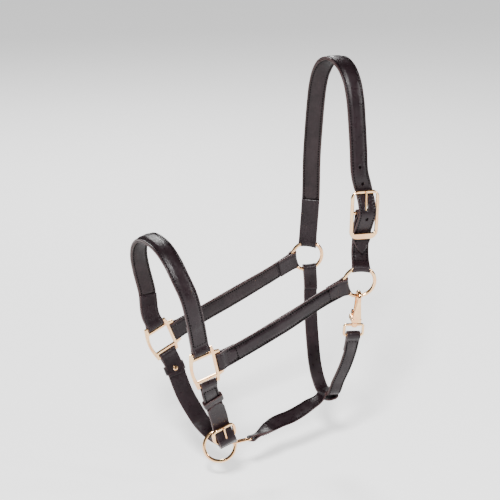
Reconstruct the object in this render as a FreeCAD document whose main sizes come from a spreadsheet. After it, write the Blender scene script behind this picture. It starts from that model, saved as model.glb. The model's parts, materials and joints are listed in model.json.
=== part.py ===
# A leather headcollar for a horse, modelled as it hangs from the poll.
# Millimetres. Origin on top of the crown strap, where it lies over the poll.
# +X runs back to the horse's ears, -X to the nose, -Y is the near (left) side, +Z is up.
import FreeCAD, Part
import math
import os
import Sketcher
from FreeCAD import Placement, Rotation, Vector

doc = FreeCAD.newDocument("Headcollar")
X_AXIS, Y_AXIS, Z_AXIS = Vector(1, 0, 0), Vector(0, 1, 0), Vector(0, 0, 1)
NEAR, FAR = -1, 1
SEAM_TURN = 50    # degrees: keeps a round bar's seam line off the strap faces it meets

# ---------------------------------------------------------------- driving dimensions
SIZES = {
    # leather: widths and thicknesses
    "strap_width": 25, "outer_thick": 3, "lining_thick": 2, "turn_thick": 2.2, "glue_gap": 0.05,
    "loop_trim": 0.4, "throat_width": 19, "throat_thick": 3.6, "jaw_width": 20, "jaw_thick": 3.2,
    "chin_thick": 2.6, "chin_turn": 1.6, "keeper_width": 12, "keeper_thick": 2,
    # punched holes
    "hole_width": 4, "hole_length": 6.5, "hole_pitch": 24.6, "tongue_slot": 20, "chin_slot": 15,
    # cheek rings and the lead ring
    "ring_room": 9, "ring_wire": 2.5, "ring_gap": 67.4, "ring_drop": 299, "ring_back": 2,
    # halter squares
    "square_gap": 62, "square_drop": 379.5, "square_front": 235, "near_pitch": 13,
    "far_pitch": 23, "square_opening": 29, "square_bar": 4, "square_slot": 3.4,
    "square_thick": 4, "bow_depth": 2.4,
    # where the straps go: the nose and the chin are placed from the squares
    "nose_ahead": 42, "nose_rise": 166.5, "crown_spread": 58, "throat_drop": 488,
    "chin_back": 44, "chin_drop": 120.5, "chin_inset": 23.5, "chin_sag": 17.5, "lead_back": 56,
    # crown buckle, placed up from the near cheek ring, and chin buckle
    "buckle_length": 68, "buckle_side": 4.6, "buckle_heel": 8.6, "buckle_room": 3.4,
    "buckle_thick": 4, "buckle_bar": 4, "window_corner": 2.5, "frame_corner": 6.875,
    "buckle_lift": 94,
    "buckle_bar_z": 3, "buckle_play": 1.9, "chin_buckle_length": 26, "chin_buckle_room": 0.9,
    "chin_play": 1.3, "tongue_wire": 1.5,
    # snap, its swivel eye, and the jaw link
    "snap_length": 47, "snap_reach": 7, "snap_wire": 2.6, "gate_pin": 1.2, "rivet_radius": 1.93,
    "eye_room": 1.9, "eye_height": 19, "eye_wire": 3.6, "link_length": 34, "link_width": 17,
    "link_wire": 1.7,
    # clearances
    "fit": 0.35, "bar_clearance": 0.6, "lead_clearance": 3.4,
}

sheet = doc.addObject("Spreadsheet::Sheet", "Sizes")
for row, (alias, number) in enumerate(SIZES.items(), start=1):
    sheet.set("A%d" % row, alias)
    sheet.set("B%d" % row, str(number))
    sheet.setAlias("B%d" % row, alias)
doc.recompute()


def size(alias):
    """The number in the sheet's cell of that name."""
    return float(sheet.get(alias))


HALF_STRAP = size("strap_width") / 2
RING_R, RING_WIRE, FIT = HALF_STRAP + size("ring_room"), size("ring_wire"), size("fit")
TURN = size("turn_thick")
COIL = size("tongue_wire") * 1.4
BAR_ROOM = size("buckle_bar") / 2 + size("fit") + size("bar_clearance")
parts = []


# ---------------------------------------------------------------- small helpers
def keep(item, label):
    """Label a finished sub-part and list it for export."""
    item.Label = label
    parts.append(item)
    return item


def feature(label, shape, placement=None):
    """A sub-part whose shape is worked out from its path."""
    item = doc.addObject("Part::Feature", label)
    item.Shape = shape
    if placement is not None:
        item.Placement = placement
    return keep(item, label)


def axes_placement(origin, across, up):
    """Local X across, local Z up, local Y completes them."""
    up = Vector(up).normalize()
    across = (across - up * across.dot(up)).normalize()
    return Placement(origin, Rotation(across, up.cross(across), up, "ZXY"))


def bind(item, **expressions):
    """Bind properties to the sheet's cells. In the text, # stands for the sheet."""
    for name, text in expressions.items():
        item.setExpression(name, text.replace("#", "Sizes."))
    return item


def smooth(points, sides, steps=4):
    """A smooth curve through the points. Each station is (centre, side, outward)."""
    lengths = [(b - a).Length for a, b in zip(points, points[1:])]
    ways = [(b - a) * (1 / length) for a, b, length in zip(points, points[1:], lengths)]
    slopes = [ways[0]]
    for index in range(1, len(ways)):
        before, after = lengths[index - 1], lengths[index]
        slopes.append((ways[index - 1] * after + ways[index] * before) * (1 / (before + after)))
    slopes.append(ways[-1])
    stations = []
    for index, reach in enumerate(lengths):
        a, b = points[index:index + 2]
        leave, arrive = slopes[index] * reach, slopes[index + 1] * reach
        for step in range(steps + (index == len(lengths) - 1)):
            t = step / steps
            centre = (a * (2 * t**3 - 3 * t**2 + 1) + leave * (t**3 - 2 * t**2 + t)
                      + b * (3 * t**2 - 2 * t**3) + arrive * (t**3 - t**2))
            tangent = ((b - a) * (6 * t - 6 * t**2) + leave * (3 * t**2 - 4 * t + 1)
                       + arrive * (3 * t**2 - 2 * t)).normalize()
            side = sides[index] * (1 - t) + sides[index + 1] * t
            side = (side - tangent * side.dot(tangent)).normalize()
            stations.append((centre, side, tangent.cross(side)))
    return stations


def band(stations, width, low, high):
    """A flat strap along the stations, from offset low to offset high along its outward side."""
    wires = []
    for centre, side, outward in stations:
        half = side * (width / 2)
        corners = [centre - half + outward * low, centre + half + outward * low,
                   centre + half + outward * high, centre - half + outward * high]
        wires.append(Part.makePolygon(corners + corners[:1]))
    return Part.makeLoft(wires, True, True)


def torus_at(placement, radius, tube):
    """A torus whose axis is the placement's local Y."""
    solid = Part.makeTorus(radius, tube, Vector(0, 0, 0), Y_AXIS)
    solid.Placement = placement
    return solid


def slab(origin, across, along, width, reach, depth):
    """A box about the origin: width across, reach along the strap, depth through it."""
    box = Part.makeBox(width, depth, reach * 2, Vector(-width / 2, -depth / 2, -reach))
    box.Placement = axes_placement(origin, across, along)
    return box


def bar_at(origin, direction, radius, length):
    """A round bar centred on the origin."""
    start = origin - direction * (length / 2)
    bar = Part.makeCylinder(radius, length, start, direction)
    return bar.rotate(origin, direction, SEAM_TURN)


# ---------------------------------------------------------------- where the metal sits
RING_LEAN = Rotation(Z_AXIS, -20).multiply(Rotation(X_AXIS, 8))
RING = {side: Placement(Vector(size("ring_back"), side * size("ring_gap"), -size("ring_drop")),
                        RING_LEAN) for side in (NEAR, FAR)}
SQUARE = {NEAR: Placement(Vector(-size("square_front"), -size("square_gap"), -size("square_drop")),
                          Rotation(Y_AXIS, -size("near_pitch"))),
          FAR: Placement(Vector(-size("square_front"), size("square_gap"), -size("square_drop")),
                         Rotation(Y_AXIS, -size("far_pitch")))}
OUTER_BAR = size("square_opening") / 2 + size("square_bar") * 1.5 + size("square_slot")
# The chin strap's lowest point lies inside the lead ring's top, where its edges meet the wire.
CHIN_LOW = -size("square_drop") - size("chin_drop") - size("chin_sag")
LEAD_RIDE = (math.sqrt((RING_R - RING_WIRE) ** 2 - HALF_STRAP ** 2)
             - size("chin_thick") / 2 - size("lead_clearance"))
LEAD = axes_placement(Vector(size("lead_back") - size("square_front"), 0, CHIN_LOW - LEAD_RIDE),
                      Vector(0.93, -0.36, 0.05), Vector(0.02, 0.22, 0.97))
SQUARE_ACROSS = {side: SQUARE[side].Rotation.multVec(X_AXIS) for side in (NEAR, FAR)}
SQUARE_UP = {side: SQUARE[side].Rotation.multVec(Z_AXIS) for side in (NEAR, FAR)}


def ring_rim(side, toward):
    """The wire's centre on a cheek ring, on the side that faces a point."""
    centre = RING[side].Base
    normal = RING[side].Rotation.multVec(Y_AXIS)
    way = toward - centre
    way = (way - normal * way.dot(normal)).normalize()
    return centre + way * RING_R


def square_bar_centre(side, x, z):
    """The centre of an outer bar of a square: x and z are -1, 0 or 1."""
    return SQUARE[side].multVec(Vector(x * OUTER_BAR, 0, z * OUTER_BAR))


# ---------------------------------------------------------------- end loops of the straps
def ring_loop(placement, radius, tube, rim, across, along, width):
    """Leather wrapped round a ring's wire, and the room for the wire."""
    wrap = torus_at(placement, radius, tube + FIT + TURN)
    wrap = wrap.common(slab(rim, across, along, width - size("loop_trim"), radius * 0.55, radius))
    return wrap, torus_at(placement, radius, tube + FIT)


def bar_loop(centre, direction, radius, width, thick=TURN):
    """Leather wrapped round a straight bar, and the room for the bar."""
    wrap = bar_at(centre, direction, radius + FIT + thick, width - size("loop_trim"))
    return wrap, bar_at(centre, direction, radius + FIT, width * 2)


def strap_with_loops(solid, loops):
    """Join the loops to a strap and cut the metal's room out of it."""
    for wrap, _room in loops:
        solid = solid.fuse(wrap)
    for _wrap, room in loops:
        solid = solid.cut(room)
    return max(solid.Solids, key=lambda body: body.Volume)


SQUARE_BAR_ROOM = math.hypot(size("square_bar"), size("square_thick")) / 2 - 0.4


# ---------------------------------------------------------------- cheek rings
def cheek_ring(side, label):
    """A round ring of wire."""
    ring = doc.addObject("Part::Torus", label)
    bind(ring, Radius1="#strap_width/2 + #ring_room", Radius2="#ring_wire")
    ring.Placement = RING[side].multiply(Placement(Vector(0, 0, 0), Rotation(X_AXIS, 90)))
    return keep(ring, label)


# ---------------------------------------------------------------- halter squares
def plane_of(body, role):
    """One of a body's own origin planes."""
    return next(item for item in body.Origin.OriginFeatures if item.Role == role)


def value_of(text):
    """The value of a sum of sheet cells, such as '-#a - #b'."""
    total = 0
    for term in text.replace(" ", "").replace("-", "+-").split("+"):
        if term:
            sign = -1 if term.startswith("-") else 1
            name, _slash, divisor = term.lstrip("-").partition("/")
            total += sign * size(name.lstrip("#")) / float(divisor or 1)
    return total


def add_outline(sketch, corners, bows=()):
    """A closed outline whose corners are tied to the sheet. Edge numbers in bows are arcs."""
    points = [Vector(value_of(across), value_of(up), 0) for across, up in corners]
    first = sketch.GeometryCount
    for index, start in enumerate(points):
        end = points[(index + 1) % len(points)]
        if index in bows:
            out = Vector(start.y - end.y, end.x - start.x, 0).normalize() * size("bow_depth")
            arc = Part.Arc(start, (start + end) * 0.5 + out, end)
            sketch.addGeometry(arc, False)
        else:
            sketch.addGeometry(Part.LineSegment(start, end), False)
    for index, (across, up) in enumerate(corners):
        if index in bows or (index - 1) % len(corners) in bows:
            continue
        for kind, text in (("DistanceX", across), ("DistanceY", up)):
            tie = Sketcher.Constraint(kind, -1, 1, first + index, 1, value_of(text))
            number = sketch.addConstraint(tie)
            sketch.setExpression("Constraints[%d]" % number, text.replace("#", "Sizes."))


def negative(text):
    """Turn a sum of cells round: 'a - b' becomes '-a + b'."""
    return "-" + text.replace("+", "~").replace("-", "+").replace("~", "-")


def rectangle(left, right, low, high):
    """Corner expressions of a rectangle."""
    return [(left, low), (left, high), (right, high), (right, low)]


def plate_body(label, outlines, thick, placement, fillet):
    """A cast plate: outlines in the XZ plane, padded both ways, with rounded edges."""
    body = doc.addObject("PartDesign::Body", label)
    sketch = body.newObject("Sketcher::SketchObject", label + "_outline")
    sketch.AttachmentSupport = [(plane_of(body, "XZ_Plane"), "")]
    sketch.MapMode = "FlatFace"
    for corners, bows in outlines:
        add_outline(sketch, corners, bows)
    pad = body.newObject("PartDesign::Pad", label + "_plate")
    pad.Profile = sketch
    pad.Midplane = True
    bind(pad, Length=thick)
    doc.recompute()
    if fillet:
        rounding = body.newObject("PartDesign::Fillet", label + "_rounding")
        flat = [number for number, edge in enumerate(pad.Shape.Edges, start=1)
                if abs(edge.BoundBox.YLength) < 0.01]
        rounding.Base = (pad, ["Edge%d" % number for number in flat])
        rounding.Radius = fillet
        body.Tip = rounding
    body.Placement = placement
    doc.recompute()
    return keep(body, label)


def halter_square(side, label):
    """A cast square: an opening, a slotted bar above, below and behind, a bowed front bar."""
    opening, bar, slot = "#square_opening/2", "#square_bar", "#square_slot"
    inner = opening + " + " + bar
    outer = inner + " + " + slot + " + " + bar
    wing = "#strap_width/2 + #fit + #square_bar"
    ends = "#strap_width/2 + #fit"
    outline = [(negative(wing), outer), (wing, outer), (inner, inner), (outer, wing),
               (outer, negative(wing)), (inner, negative(inner)), (wing, negative(outer)),
               (negative(wing), negative(outer)), (negative(inner), negative(inner)),
               (negative(inner), inner)]
    slot_far = inner + " + " + slot
    outlines = [(outline, (8,)),
                (rectangle(negative(opening), opening, negative(opening), opening), (0,)),
                (rectangle(negative(ends), ends, inner, slot_far), ()),
                (rectangle(negative(ends), ends, negative(slot_far), negative(inner)), ()),
                (rectangle(inner, slot_far, negative(ends), ends), ())]
    return plate_body(label, outlines, "#square_thick", SQUARE[side], 1.2)


cheek_ring(NEAR, "near_cheek_ring")
cheek_ring(FAR, "far_cheek_ring")
halter_square(NEAR, "near_square")
halter_square(FAR, "far_square")


# ---------------------------------------------------------------- crown strap
BUCKLE_DROP = size("ring_drop") - size("buckle_lift")
BUCKLE = axes_placement(Vector(size("ring_back") + 6, -size("ring_gap"), -BUCKLE_DROP),
                        Vector(0.98, -0.18, 0), Vector(0.03, 0.0, 1))
BUCKLE_TOP = size("buckle_length") / 2 - size("buckle_side") / 2
BUCKLE_LOW = size("buckle_heel") / 2 - size("buckle_length") / 2
BUCKLE_BAR_Z = size("buckle_bar_z")
BEHIND = size("buckle_thick") / 2 + size("buckle_play") + size("outer_thick") / 2
OVER = BAR_ROOM + TURN + FIT + size("outer_thick") / 2


def crown_points():
    """Centres and side directions from the far ring over the poll to the buckle's lower bar."""
    spread = size("crown_spread")
    back = size("ring_back") + 1.6
    rim = ring_rim(FAR, Vector(back, size("ring_gap"), 0))
    # Shares of the spread, and of the crown buckle's drop.
    shape = [(1.06, 1.049), (1.03, 0.732), (0.96, 0.527), (0.89, 0.371), (0.8, 0.234),
             (0.66, 0.132), (0.42, 0.054), (0.0, 0.012), (-0.42, 0.054), (-0.66, 0.132),
             (-0.8, 0.234), (-0.9, 0.39), (-0.98, 0.561), (-1.06, 0.732)]
    points = [rim] + [Vector(back, y * spread, -z * BUCKLE_DROP) for y, z in shape]
    turn = [-38, -38, -38, -37, -35, -32, -28, -24, -20, -16, -12, -10, -8, -8, -8]
    sides = [Rotation(Z_AXIS, angle).multVec(X_AXIS) for angle in turn]
    through = [(0, BEHIND, BUCKLE_TOP), (1.5, -BEHIND * 0.6, BUCKLE_TOP - 17),
               (1.5, -OVER, BUCKLE_BAR_Z), (0.5, -BEHIND * 0.3, BUCKLE_LOW + 17),
               (0, BEHIND, BUCKLE_LOW), (0, BEHIND - 0.7, BUCKLE_LOW - 12),
               (0, BEHIND - 2.4, BUCKLE_LOW - 26)]
    points += [BUCKLE.multVec(Vector(*place)) for place in through]
    sides += [BUCKLE.Rotation.multVec(X_AXIS)] * len(through)
    return points, sides


def strap_hole(centre, across, along, length=size("hole_length")):
    """An oval punched hole's tool, long enough to pass right through."""
    width = size("hole_width")
    box = Part.makeBox(width, 16, length - width, Vector(-width / 2, -8, (width - length) / 2))
    for end in (-1, 1):
        at = Vector(0, -8, end * (length - width) / 2)
        box = box.fuse(Part.makeCylinder(width / 2, 16, at, Y_AXIS))
    box.Placement = axes_placement(centre, across, along)
    return box


def pointed(solid, tip, across, along, width, depth):
    """Trim a strap's free end to a point, its tip at the given place."""
    for hand in (-1, 1):
        cutter = Part.makePolygon([Vector(0, -depth, 0), Vector(hand * width, -depth, 0),
                                   Vector(hand * width, -depth, -width * 1.1),
                                   Vector(hand * width * 0.56, -depth, -width * 0.62),
                                   Vector(0, -depth, 0)])
        tool = Part.Face(cutter).extrude(Vector(0, depth * 2, 0))
        tool.Placement = axes_placement(tip, across, along)
        solid = solid.cut(tool)
    return max(solid.Solids, key=lambda body: body.Volume)


def crown_strap():
    """The long strap over the poll, and the lining that covers all but its near leg."""
    points, sides = crown_points()
    stations = smooth(points, sides, 3)
    centre_low = -size("outer_thick") / 2
    outer = band(stations, size("strap_width"), centre_low, -centre_low)
    rim = points[0]
    along = (points[1] - points[0]).normalize()
    loop = ring_loop(RING[FAR], RING_R, RING_WIRE, rim, sides[0], along, size("strap_width"))
    outer = strap_with_loops(outer, [loop])
    worn = BUCKLE.multVec(Vector(0, 0, BUCKLE_BAR_Z - 2 + size("tongue_slot") / 2))
    outer = outer.cut(strap_hole(worn, sides[-1], Z_AXIS, size("tongue_slot")))
    spare = [hole_place(stations, step) for step in (1, 2)]
    spare.append(BUCKLE.multVec(Vector(0, 0, BUCKLE_BAR_Z - 10)))
    for place in spare:
        outer = outer.cut(strap_hole(place, sides[-1], Z_AXIS))
    tip = BUCKLE.multVec(Vector(0, 0, BUCKLE_LOW - 26))
    outer = pointed(outer, tip, sides[-1], -BUCKLE.Rotation.multVec(Z_AXIS),
                    size("strap_width"), 12)
    feature("crown_strap", outer)

    covered = [s for s in stations if s[0].y > -size("crown_spread")]
    top = centre_low - size("glue_gap")
    lining = band(covered[4:], size("strap_width") - 1, top - size("lining_thick"), top)
    feature("crown_lining", lining)


def hole_place(stations, step):
    """The centre of a spare hole: so many pitches up the near leg from the tongue's hole."""
    target = BUCKLE.Base.z + BUCKLE_TOP - 15 + step * size("hole_pitch")
    near = [s[0] for s in stations if s[0].y < 0]
    return min(near, key=lambda centre: abs(centre.z - target))


crown_strap()


# ---------------------------------------------------------------- crown chape
def crown_chape():
    """The short doubled piece that holds the crown buckle to the near cheek ring."""
    across = BUCKLE.Rotation.multVec(X_AXIS)
    behind = BEHIND + size("outer_thick") / 2 + size("glue_gap") + TURN
    rim = ring_rim(NEAR, BUCKLE.multVec(Vector(0, behind, BUCKLE_LOW)))
    bar = BUCKLE.multVec(Vector(0, 0, BUCKLE_BAR_Z))
    points = [bar, BUCKLE.multVec(Vector(0, behind * 0.45, BUCKLE_BAR_Z - 10)),
              BUCKLE.multVec(Vector(0, behind, BUCKLE_LOW + 6)),
              BUCKLE.multVec(Vector(0, behind, BUCKLE_LOW - 8)),
              BUCKLE.multVec(Vector(0, behind + 0.3, BUCKLE_LOW - 25)), rim]
    ring_across = RING[NEAR].Rotation.multVec(X_AXIS)
    stations = smooth(points, [across] * 4 + [(across + ring_across) * 0.5, ring_across], 4)
    width = size("strap_width") - 1
    solid = band(stations, width, -TURN, TURN)
    loops = [bar_loop(bar, across, BAR_ROOM - FIT, width),
             ring_loop(RING[NEAR], RING_R, RING_WIRE, rim, ring_across,
                       (points[-2] - rim).normalize(), width)]
    solid = strap_with_loops(solid, loops)
    slot = slab(bar, across, BUCKLE.Rotation.multVec(Z_AXIS), size("tongue_wire") * 2 + 1.2, 9, 26)
    solid = solid.cut(slot)
    feature("crown_chape", max(solid.Solids, key=lambda body: body.Volume))


crown_chape()


# ---------------------------------------------------------------- crown buckle
def rounded_frame(label, room, length, side, heel, bar_z, thick, placement, fillet):
    """A buckle frame: outline, and a window on each side of its bar when it has one."""
    half = "#strap_width/2 + " + room + " + " + side
    top, low = length + "/2", "-" + length + "/2"
    inside = half + " - " + side
    outlines = [(rectangle(negative(half), half, low, top), ())]
    window_low = low + " + " + heel
    window_top = top + " - " + side
    if bar_z is None:
        outlines.append((rectangle(negative(inside), inside, window_low, window_top), ()))
    else:
        outlines.append((rectangle(negative(inside), inside, bar_z + " + #buckle_bar/2",
                                   window_top), ()))
        outlines.append((rectangle(negative(inside), inside, window_low,
                                   bar_z + " - #buckle_bar/2"), ()))
    body = plate_body(label, outlines, thick, Placement(), 0)
    pad = body.Tip
    corner = body.newObject("PartDesign::Fillet", label + "_corners")
    reach_x, reach_z = value_of(half), value_of(top)
    numbers = [number for number, edge in enumerate(pad.Shape.Edges, start=1)
               if edge.BoundBox.YLength > 0.5
               and abs(abs(edge.CenterOfMass.x) - reach_x) < 0.01
               and abs(abs(edge.CenterOfMass.z) - reach_z) < 0.01]
    corner.Base = (pad, ["Edge%d" % number for number in numbers])
    corner.Radius = size("frame_corner") + 0.55 * (value_of(room) + value_of(side))
    inner = body.newObject("PartDesign::Fillet", label + "_window_corners")
    doc.recompute()
    inside_x = value_of(inside)
    ends_z = (value_of(window_low), value_of(window_top))
    numbers = [number for number, edge in enumerate(corner.Shape.Edges, start=1)
               if edge.BoundBox.YLength > 0.5
               and abs(abs(edge.CenterOfMass.x) - inside_x) < 0.01
               and min(abs(edge.CenterOfMass.z - z) for z in ends_z) < 0.01]
    inner.Base = (corner, ["Edge%d" % number for number in numbers])
    inner.Radius = size("window_corner")
    doc.recompute()
    rounding = body.newObject("PartDesign::Fillet", label + "_rounding")
    flat = [number for number, edge in enumerate(inner.Shape.Edges, start=1)
            if abs(edge.BoundBox.YLength) < 0.01]
    rounding.Base = (inner, ["Edge%d" % number for number in flat])
    rounding.Radius = fillet
    body.Tip = rounding
    body.Placement = placement
    doc.recompute()
    return body


def tongue(label, placement, length, coil_room, lift):
    """A buckle tongue: a coil round the bar and a wire that comes to rest on the frame."""
    wire = size("tongue_wire")
    coil = Part.makeTorus(coil_room + wire * 0.7, wire * 0.7, Vector(0, 0, 0), X_AXIS)
    start = Vector(0, -coil_room - wire * 0.9, 0.5)
    bend = Vector(0, -coil_room - wire * 1.1, length * 0.3)
    tip = Vector(0, -lift, length)
    shank = Part.makeCylinder(wire, (bend - start).Length, start, bend - start)
    shank = shank.fuse(Part.makeSphere(wire, bend))
    shank = shank.fuse(Part.makeCone(wire, wire * 0.75, (tip - bend).Length, bend, tip - bend))
    shank = shank.fuse(Part.makeSphere(wire * 0.75, tip))
    solid = coil.fuse(shank)
    solid = solid.cut(Part.makeCylinder(coil_room, 8, Vector(-4, 0, 0), X_AXIS))
    feature(label, max(solid.Solids, key=lambda body: body.Volume).removeSplitter(), placement)


rounded_frame("crown_buckle_frame", "#buckle_room", "#buckle_length", "#buckle_side",
              "#buckle_heel", "#buckle_bar_z", "#buckle_thick", BUCKLE, 1.3)
tongue("crown_buckle_tongue", BUCKLE.multiply(Placement(Vector(0, 0, BUCKLE_BAR_Z), Rotation())),
       BUCKLE_TOP - BUCKLE_BAR_Z + 1.2, BAR_ROOM, size("buckle_thick") / 2 + 0.25 + 1.2)


# ---------------------------------------------------------------- cheek straps
def padded_strap(label, points, sides, loops, width, steps=3, inset=9):
    """A two-layer strap: the outer leather with its end loops, and the lining behind it."""
    stations = smooth(points, sides, steps)
    half = size("outer_thick") / 2
    outer = strap_with_loops(band(stations, width, -half, half), loops)
    feature(label + "_strap", outer)
    begin, finish = points[0], points[-1]
    inner = [s for s in stations
             if (s[0] - begin).Length > inset and (s[0] - finish).Length > inset]
    top = -half - size("glue_gap")
    lining = band(inner, width - 1, top - size("lining_thick"), top)
    feature(label + "_lining", lining)


def square_loop(side, x, z):
    """The loop of a strap round one outer bar of a square."""
    centre = square_bar_centre(side, x, z)
    direction = SQUARE_UP[side] if x else SQUARE_ACROSS[side]
    return bar_loop(centre, direction, SQUARE_BAR_ROOM, size("strap_width"))


def cheek_strap(side, label):
    """The padded strap from a square's rear bar back to the cheek ring."""
    bar = square_bar_centre(side, 1, 0)
    rim = ring_rim(side, bar)
    along = (rim - bar).normalize()
    ring_side = RING[side].Rotation.multVec(Z_AXIS)
    ring_side = (ring_side - along * ring_side.dot(along)).normalize()
    square_side = SQUARE_UP[side]
    leave = bar + SQUARE_ACROSS[side] * 14
    middle = (bar + rim) * 0.5 + Vector(0, side * 1.5, -1.5)
    points = [bar, leave, middle, rim - along * 16, rim]
    sides = [square_side, square_side, (square_side + ring_side) * 0.5, ring_side, ring_side]
    loops = [square_loop(side, 1, 0),
             ring_loop(RING[side], RING_R, RING_WIRE, rim, ring_side, along,
                       size("strap_width"))]
    if side == FAR:
        points, sides = points[::-1], sides[::-1]
    padded_strap(label, points, sides, loops, size("strap_width"))


cheek_strap(NEAR, "near_cheek")
cheek_strap(FAR, "far_cheek")


# ---------------------------------------------------------------- nose strap
def nose_points():
    """From the far square over the nose to the near square."""
    front = -size("square_front") - size("nose_ahead")
    top = size("nose_rise") - size("square_drop")
    foot = {side: square_bar_centre(side, 0, 1) for side in (NEAR, FAR)}
    gap = size("square_gap")
    shape = [(1.1, 15.75, -60), (0.97, 9, -38.4), (0.76, 4.5, -19.2), (0.45, 1.5, -5.4)]
    rows = {}
    for side in (NEAR, FAR):
        leave = foot[side] + SQUARE_UP[side] * 13 + Vector(0, side * 2, 0)
        leg = Vector(front + 25, side * gap * 1.12, top - size("nose_rise") * 0.583)
        rows[side] = [foot[side], leave, leg]
        rows[side] += [Vector(front + x, side * gap * y, top + z) for y, x, z in shape]
    points = rows[FAR] + [Vector(front, 0, top)] + rows[NEAR][::-1]
    tilt = {side: SQUARE_ACROSS[side] for side in (NEAR, FAR)}
    sides = [tilt[FAR]] * 2 + [Vector(0.97, 0, 0.24)] * 11 + [tilt[NEAR]] * 2
    return points, sides


nose_path, nose_sides = nose_points()
padded_strap("nose", nose_path, nose_sides, [square_loop(FAR, 0, 1), square_loop(NEAR, 0, 1)],
             size("strap_width"))


# ---------------------------------------------------------------- chin buckle and straps
CHIN = axes_placement(Vector(size("chin_back") - size("square_front"),
                             size("chin_inset") - size("square_gap"),
                             -size("square_drop") - size("chin_drop")),
                      Vector(0.949, -0.055, 0.308), Vector(-0.313, -0.224, 0.924))
CHIN_FRAME = CHIN.multiply(Placement(
    Vector(0, 0, size("chin_buckle_length") / 2 - size("buckle_bar") / 2), Rotation()))
CHIN_TOP = size("chin_buckle_length") - size("buckle_bar") / 2 - size("buckle_side") / 2
CHIN_HALF, CHIN_TURN = size("chin_thick") / 2, size("chin_turn")
CHIN_BESIDE = size("buckle_thick") / 2 + size("chin_play") + CHIN_HALF
CHIN_DOUBLE = CHIN_BESIDE + CHIN_HALF + FIT + CHIN_TURN
# Both layers above the chin buckle follow one line: across, inward and up from the buckle's bar.
CHIN_LINE = [(0, 0, 0), (0, 0, 13), (-1.2, -0.7, 29), (-2.6, -2.9, 45)]


def chin_line(inward):
    """The line above the chin buckle, moved inward to one of its two layers."""
    return [CHIN.multVec(Vector(x, y + inward, CHIN_TOP + z)) for x, y, z in CHIN_LINE]


def near_chin_strap():
    """The short doubled strap from the near square that carries the chin buckle."""
    across = CHIN.Rotation.multVec(X_AXIS)
    bar = square_bar_centre(NEAR, 0, -1)
    leave = bar - SQUARE_UP[NEAR] * 12 + Vector(0, 1.5, 0)
    points = [bar, leave] + chin_line(CHIN_DOUBLE)[::-1]
    points += [CHIN.multVec(Vector(0, CHIN_DOUBLE * 0.5, 10)), CHIN.Base]
    sides = [SQUARE_ACROSS[NEAR]] * 2 + [across] * 6
    stations = smooth(points, sides, 4)
    width = size("strap_width") - 1
    solid = band(stations, width, -CHIN_TURN, CHIN_TURN)
    loops = [square_loop(NEAR, 0, -1),
             bar_loop(CHIN.Base, across, BAR_ROOM - FIT, width, CHIN_TURN)]
    solid = strap_with_loops(solid, loops)
    up = CHIN.Rotation.multVec(Z_AXIS)
    solid = solid.cut(slab(CHIN.Base, across, up, size("tongue_wire") * 2 + 1.2, 8, 24))
    feature("near_chin_strap", max(solid.Solids, key=lambda body: body.Volume))
    return stations


def chin_points():
    """From the near end's tip down over the buckle, under the jaw and up to the far square."""
    over = BAR_ROOM + COIL + FIT + CHIN_HALF
    place = CHIN.multVec
    points = chin_line(CHIN_BESIDE)[::-1]
    points += [place(Vector(0, (CHIN_BESIDE - over) * 0.5, CHIN_TOP * 0.5)),
               place(Vector(0.5, -over, 1)), place(Vector(2, -over * 0.35, -8.5))]
    # Under the jaw: x from the lead ring, y as a share of the squares' gap, z over the lowest.
    points += [Vector(LEAD.Base.x + x, size("square_gap") * y, CHIN_LOW + z)
               for x, y, z in ((-1, -0.339, 3.5), (1.2, -0.048, 0), (-1.5, 0.226, 2.5),
                               (-9.5, 0.5, 15))]
    bar = square_bar_centre(FAR, 0, -1)
    leave = bar - SQUARE_UP[FAR] * 13 + Vector(0, -1.5, 0)
    turn = points[-1]
    # The far leg: shares of the way up to the far square.
    points += [Vector(turn.x + (leave.x - turn.x) * x, turn.y + (leave.y - turn.y) * y,
                      turn.z + (leave.z - turn.z) * z)
               for x, y, z in ((0.281, 0.322, 0.215), (0.577, 0.576, 0.47), (0.827, 0.78, 0.772))]
    points += [leave, bar]
    across = CHIN.Rotation.multVec(X_AXIS)
    sides = [across] * 7 + [Vector(0.94, -0.05, 0.1)] * 2 + [Vector(0.93, -0.1, 0.1)] * 2
    sides += [Vector(0.92, -0.12, 0.25)] * 3 + [SQUARE_ACROSS[FAR]] * 2
    return points, sides


def chin_strap():
    """The adjustable strap under the jaw, pointed at its free end."""
    points, sides = chin_points()
    stations = smooth(points, sides, 4)
    solid = band(stations, size("strap_width"), -CHIN_HALF, CHIN_HALF)
    solid = strap_with_loops(solid, [square_loop(FAR, 0, -1)])
    up = CHIN.Rotation.multVec(Z_AXIS)
    across = CHIN.Rotation.multVec(X_AXIS)
    solid = pointed(solid, points[0], across, up, size("strap_width"), 12)
    worn = CHIN.multVec(Vector(0, 0, size("chin_slot") / 2 - 2))
    feature("chin_strap", solid.cut(strap_hole(worn, across, up, size("chin_slot"))))
    return stations


def sleeve(label, centre, across, along, width, depth, reach):
    """A leather keeper: a closed band round a strap, reach long along it."""
    thick = size("keeper_thick")
    outer = slab(centre, across, along, width + thick * 2, reach / 2, depth + thick * 2)
    inner = slab(centre, across, along, width, reach, depth)
    feature(label, outer.cut(inner))


near_stations = near_chin_strap()
chin_stations = chin_strap()
rounded_frame("chin_buckle_frame", "#chin_buckle_room", "#chin_buckle_length", "#buckle_side",
              "#buckle_bar", None, "#buckle_thick", CHIN_FRAME, 1.3)
tongue("chin_buckle_tongue", CHIN, CHIN_TOP + 0.8, BAR_ROOM, size("buckle_thick") / 2 + 1.5)


def station_near(stations, point):
    """The station closest to a point."""
    return min(stations, key=lambda station: (station[0] - point).Length)


def keeper(label, station, width, depth):
    """A leather keeper square to the strap that it holds."""
    centre, side, outward = station
    sleeve(label, centre, side, side.cross(outward), width, depth, size("keeper_width"))


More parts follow.
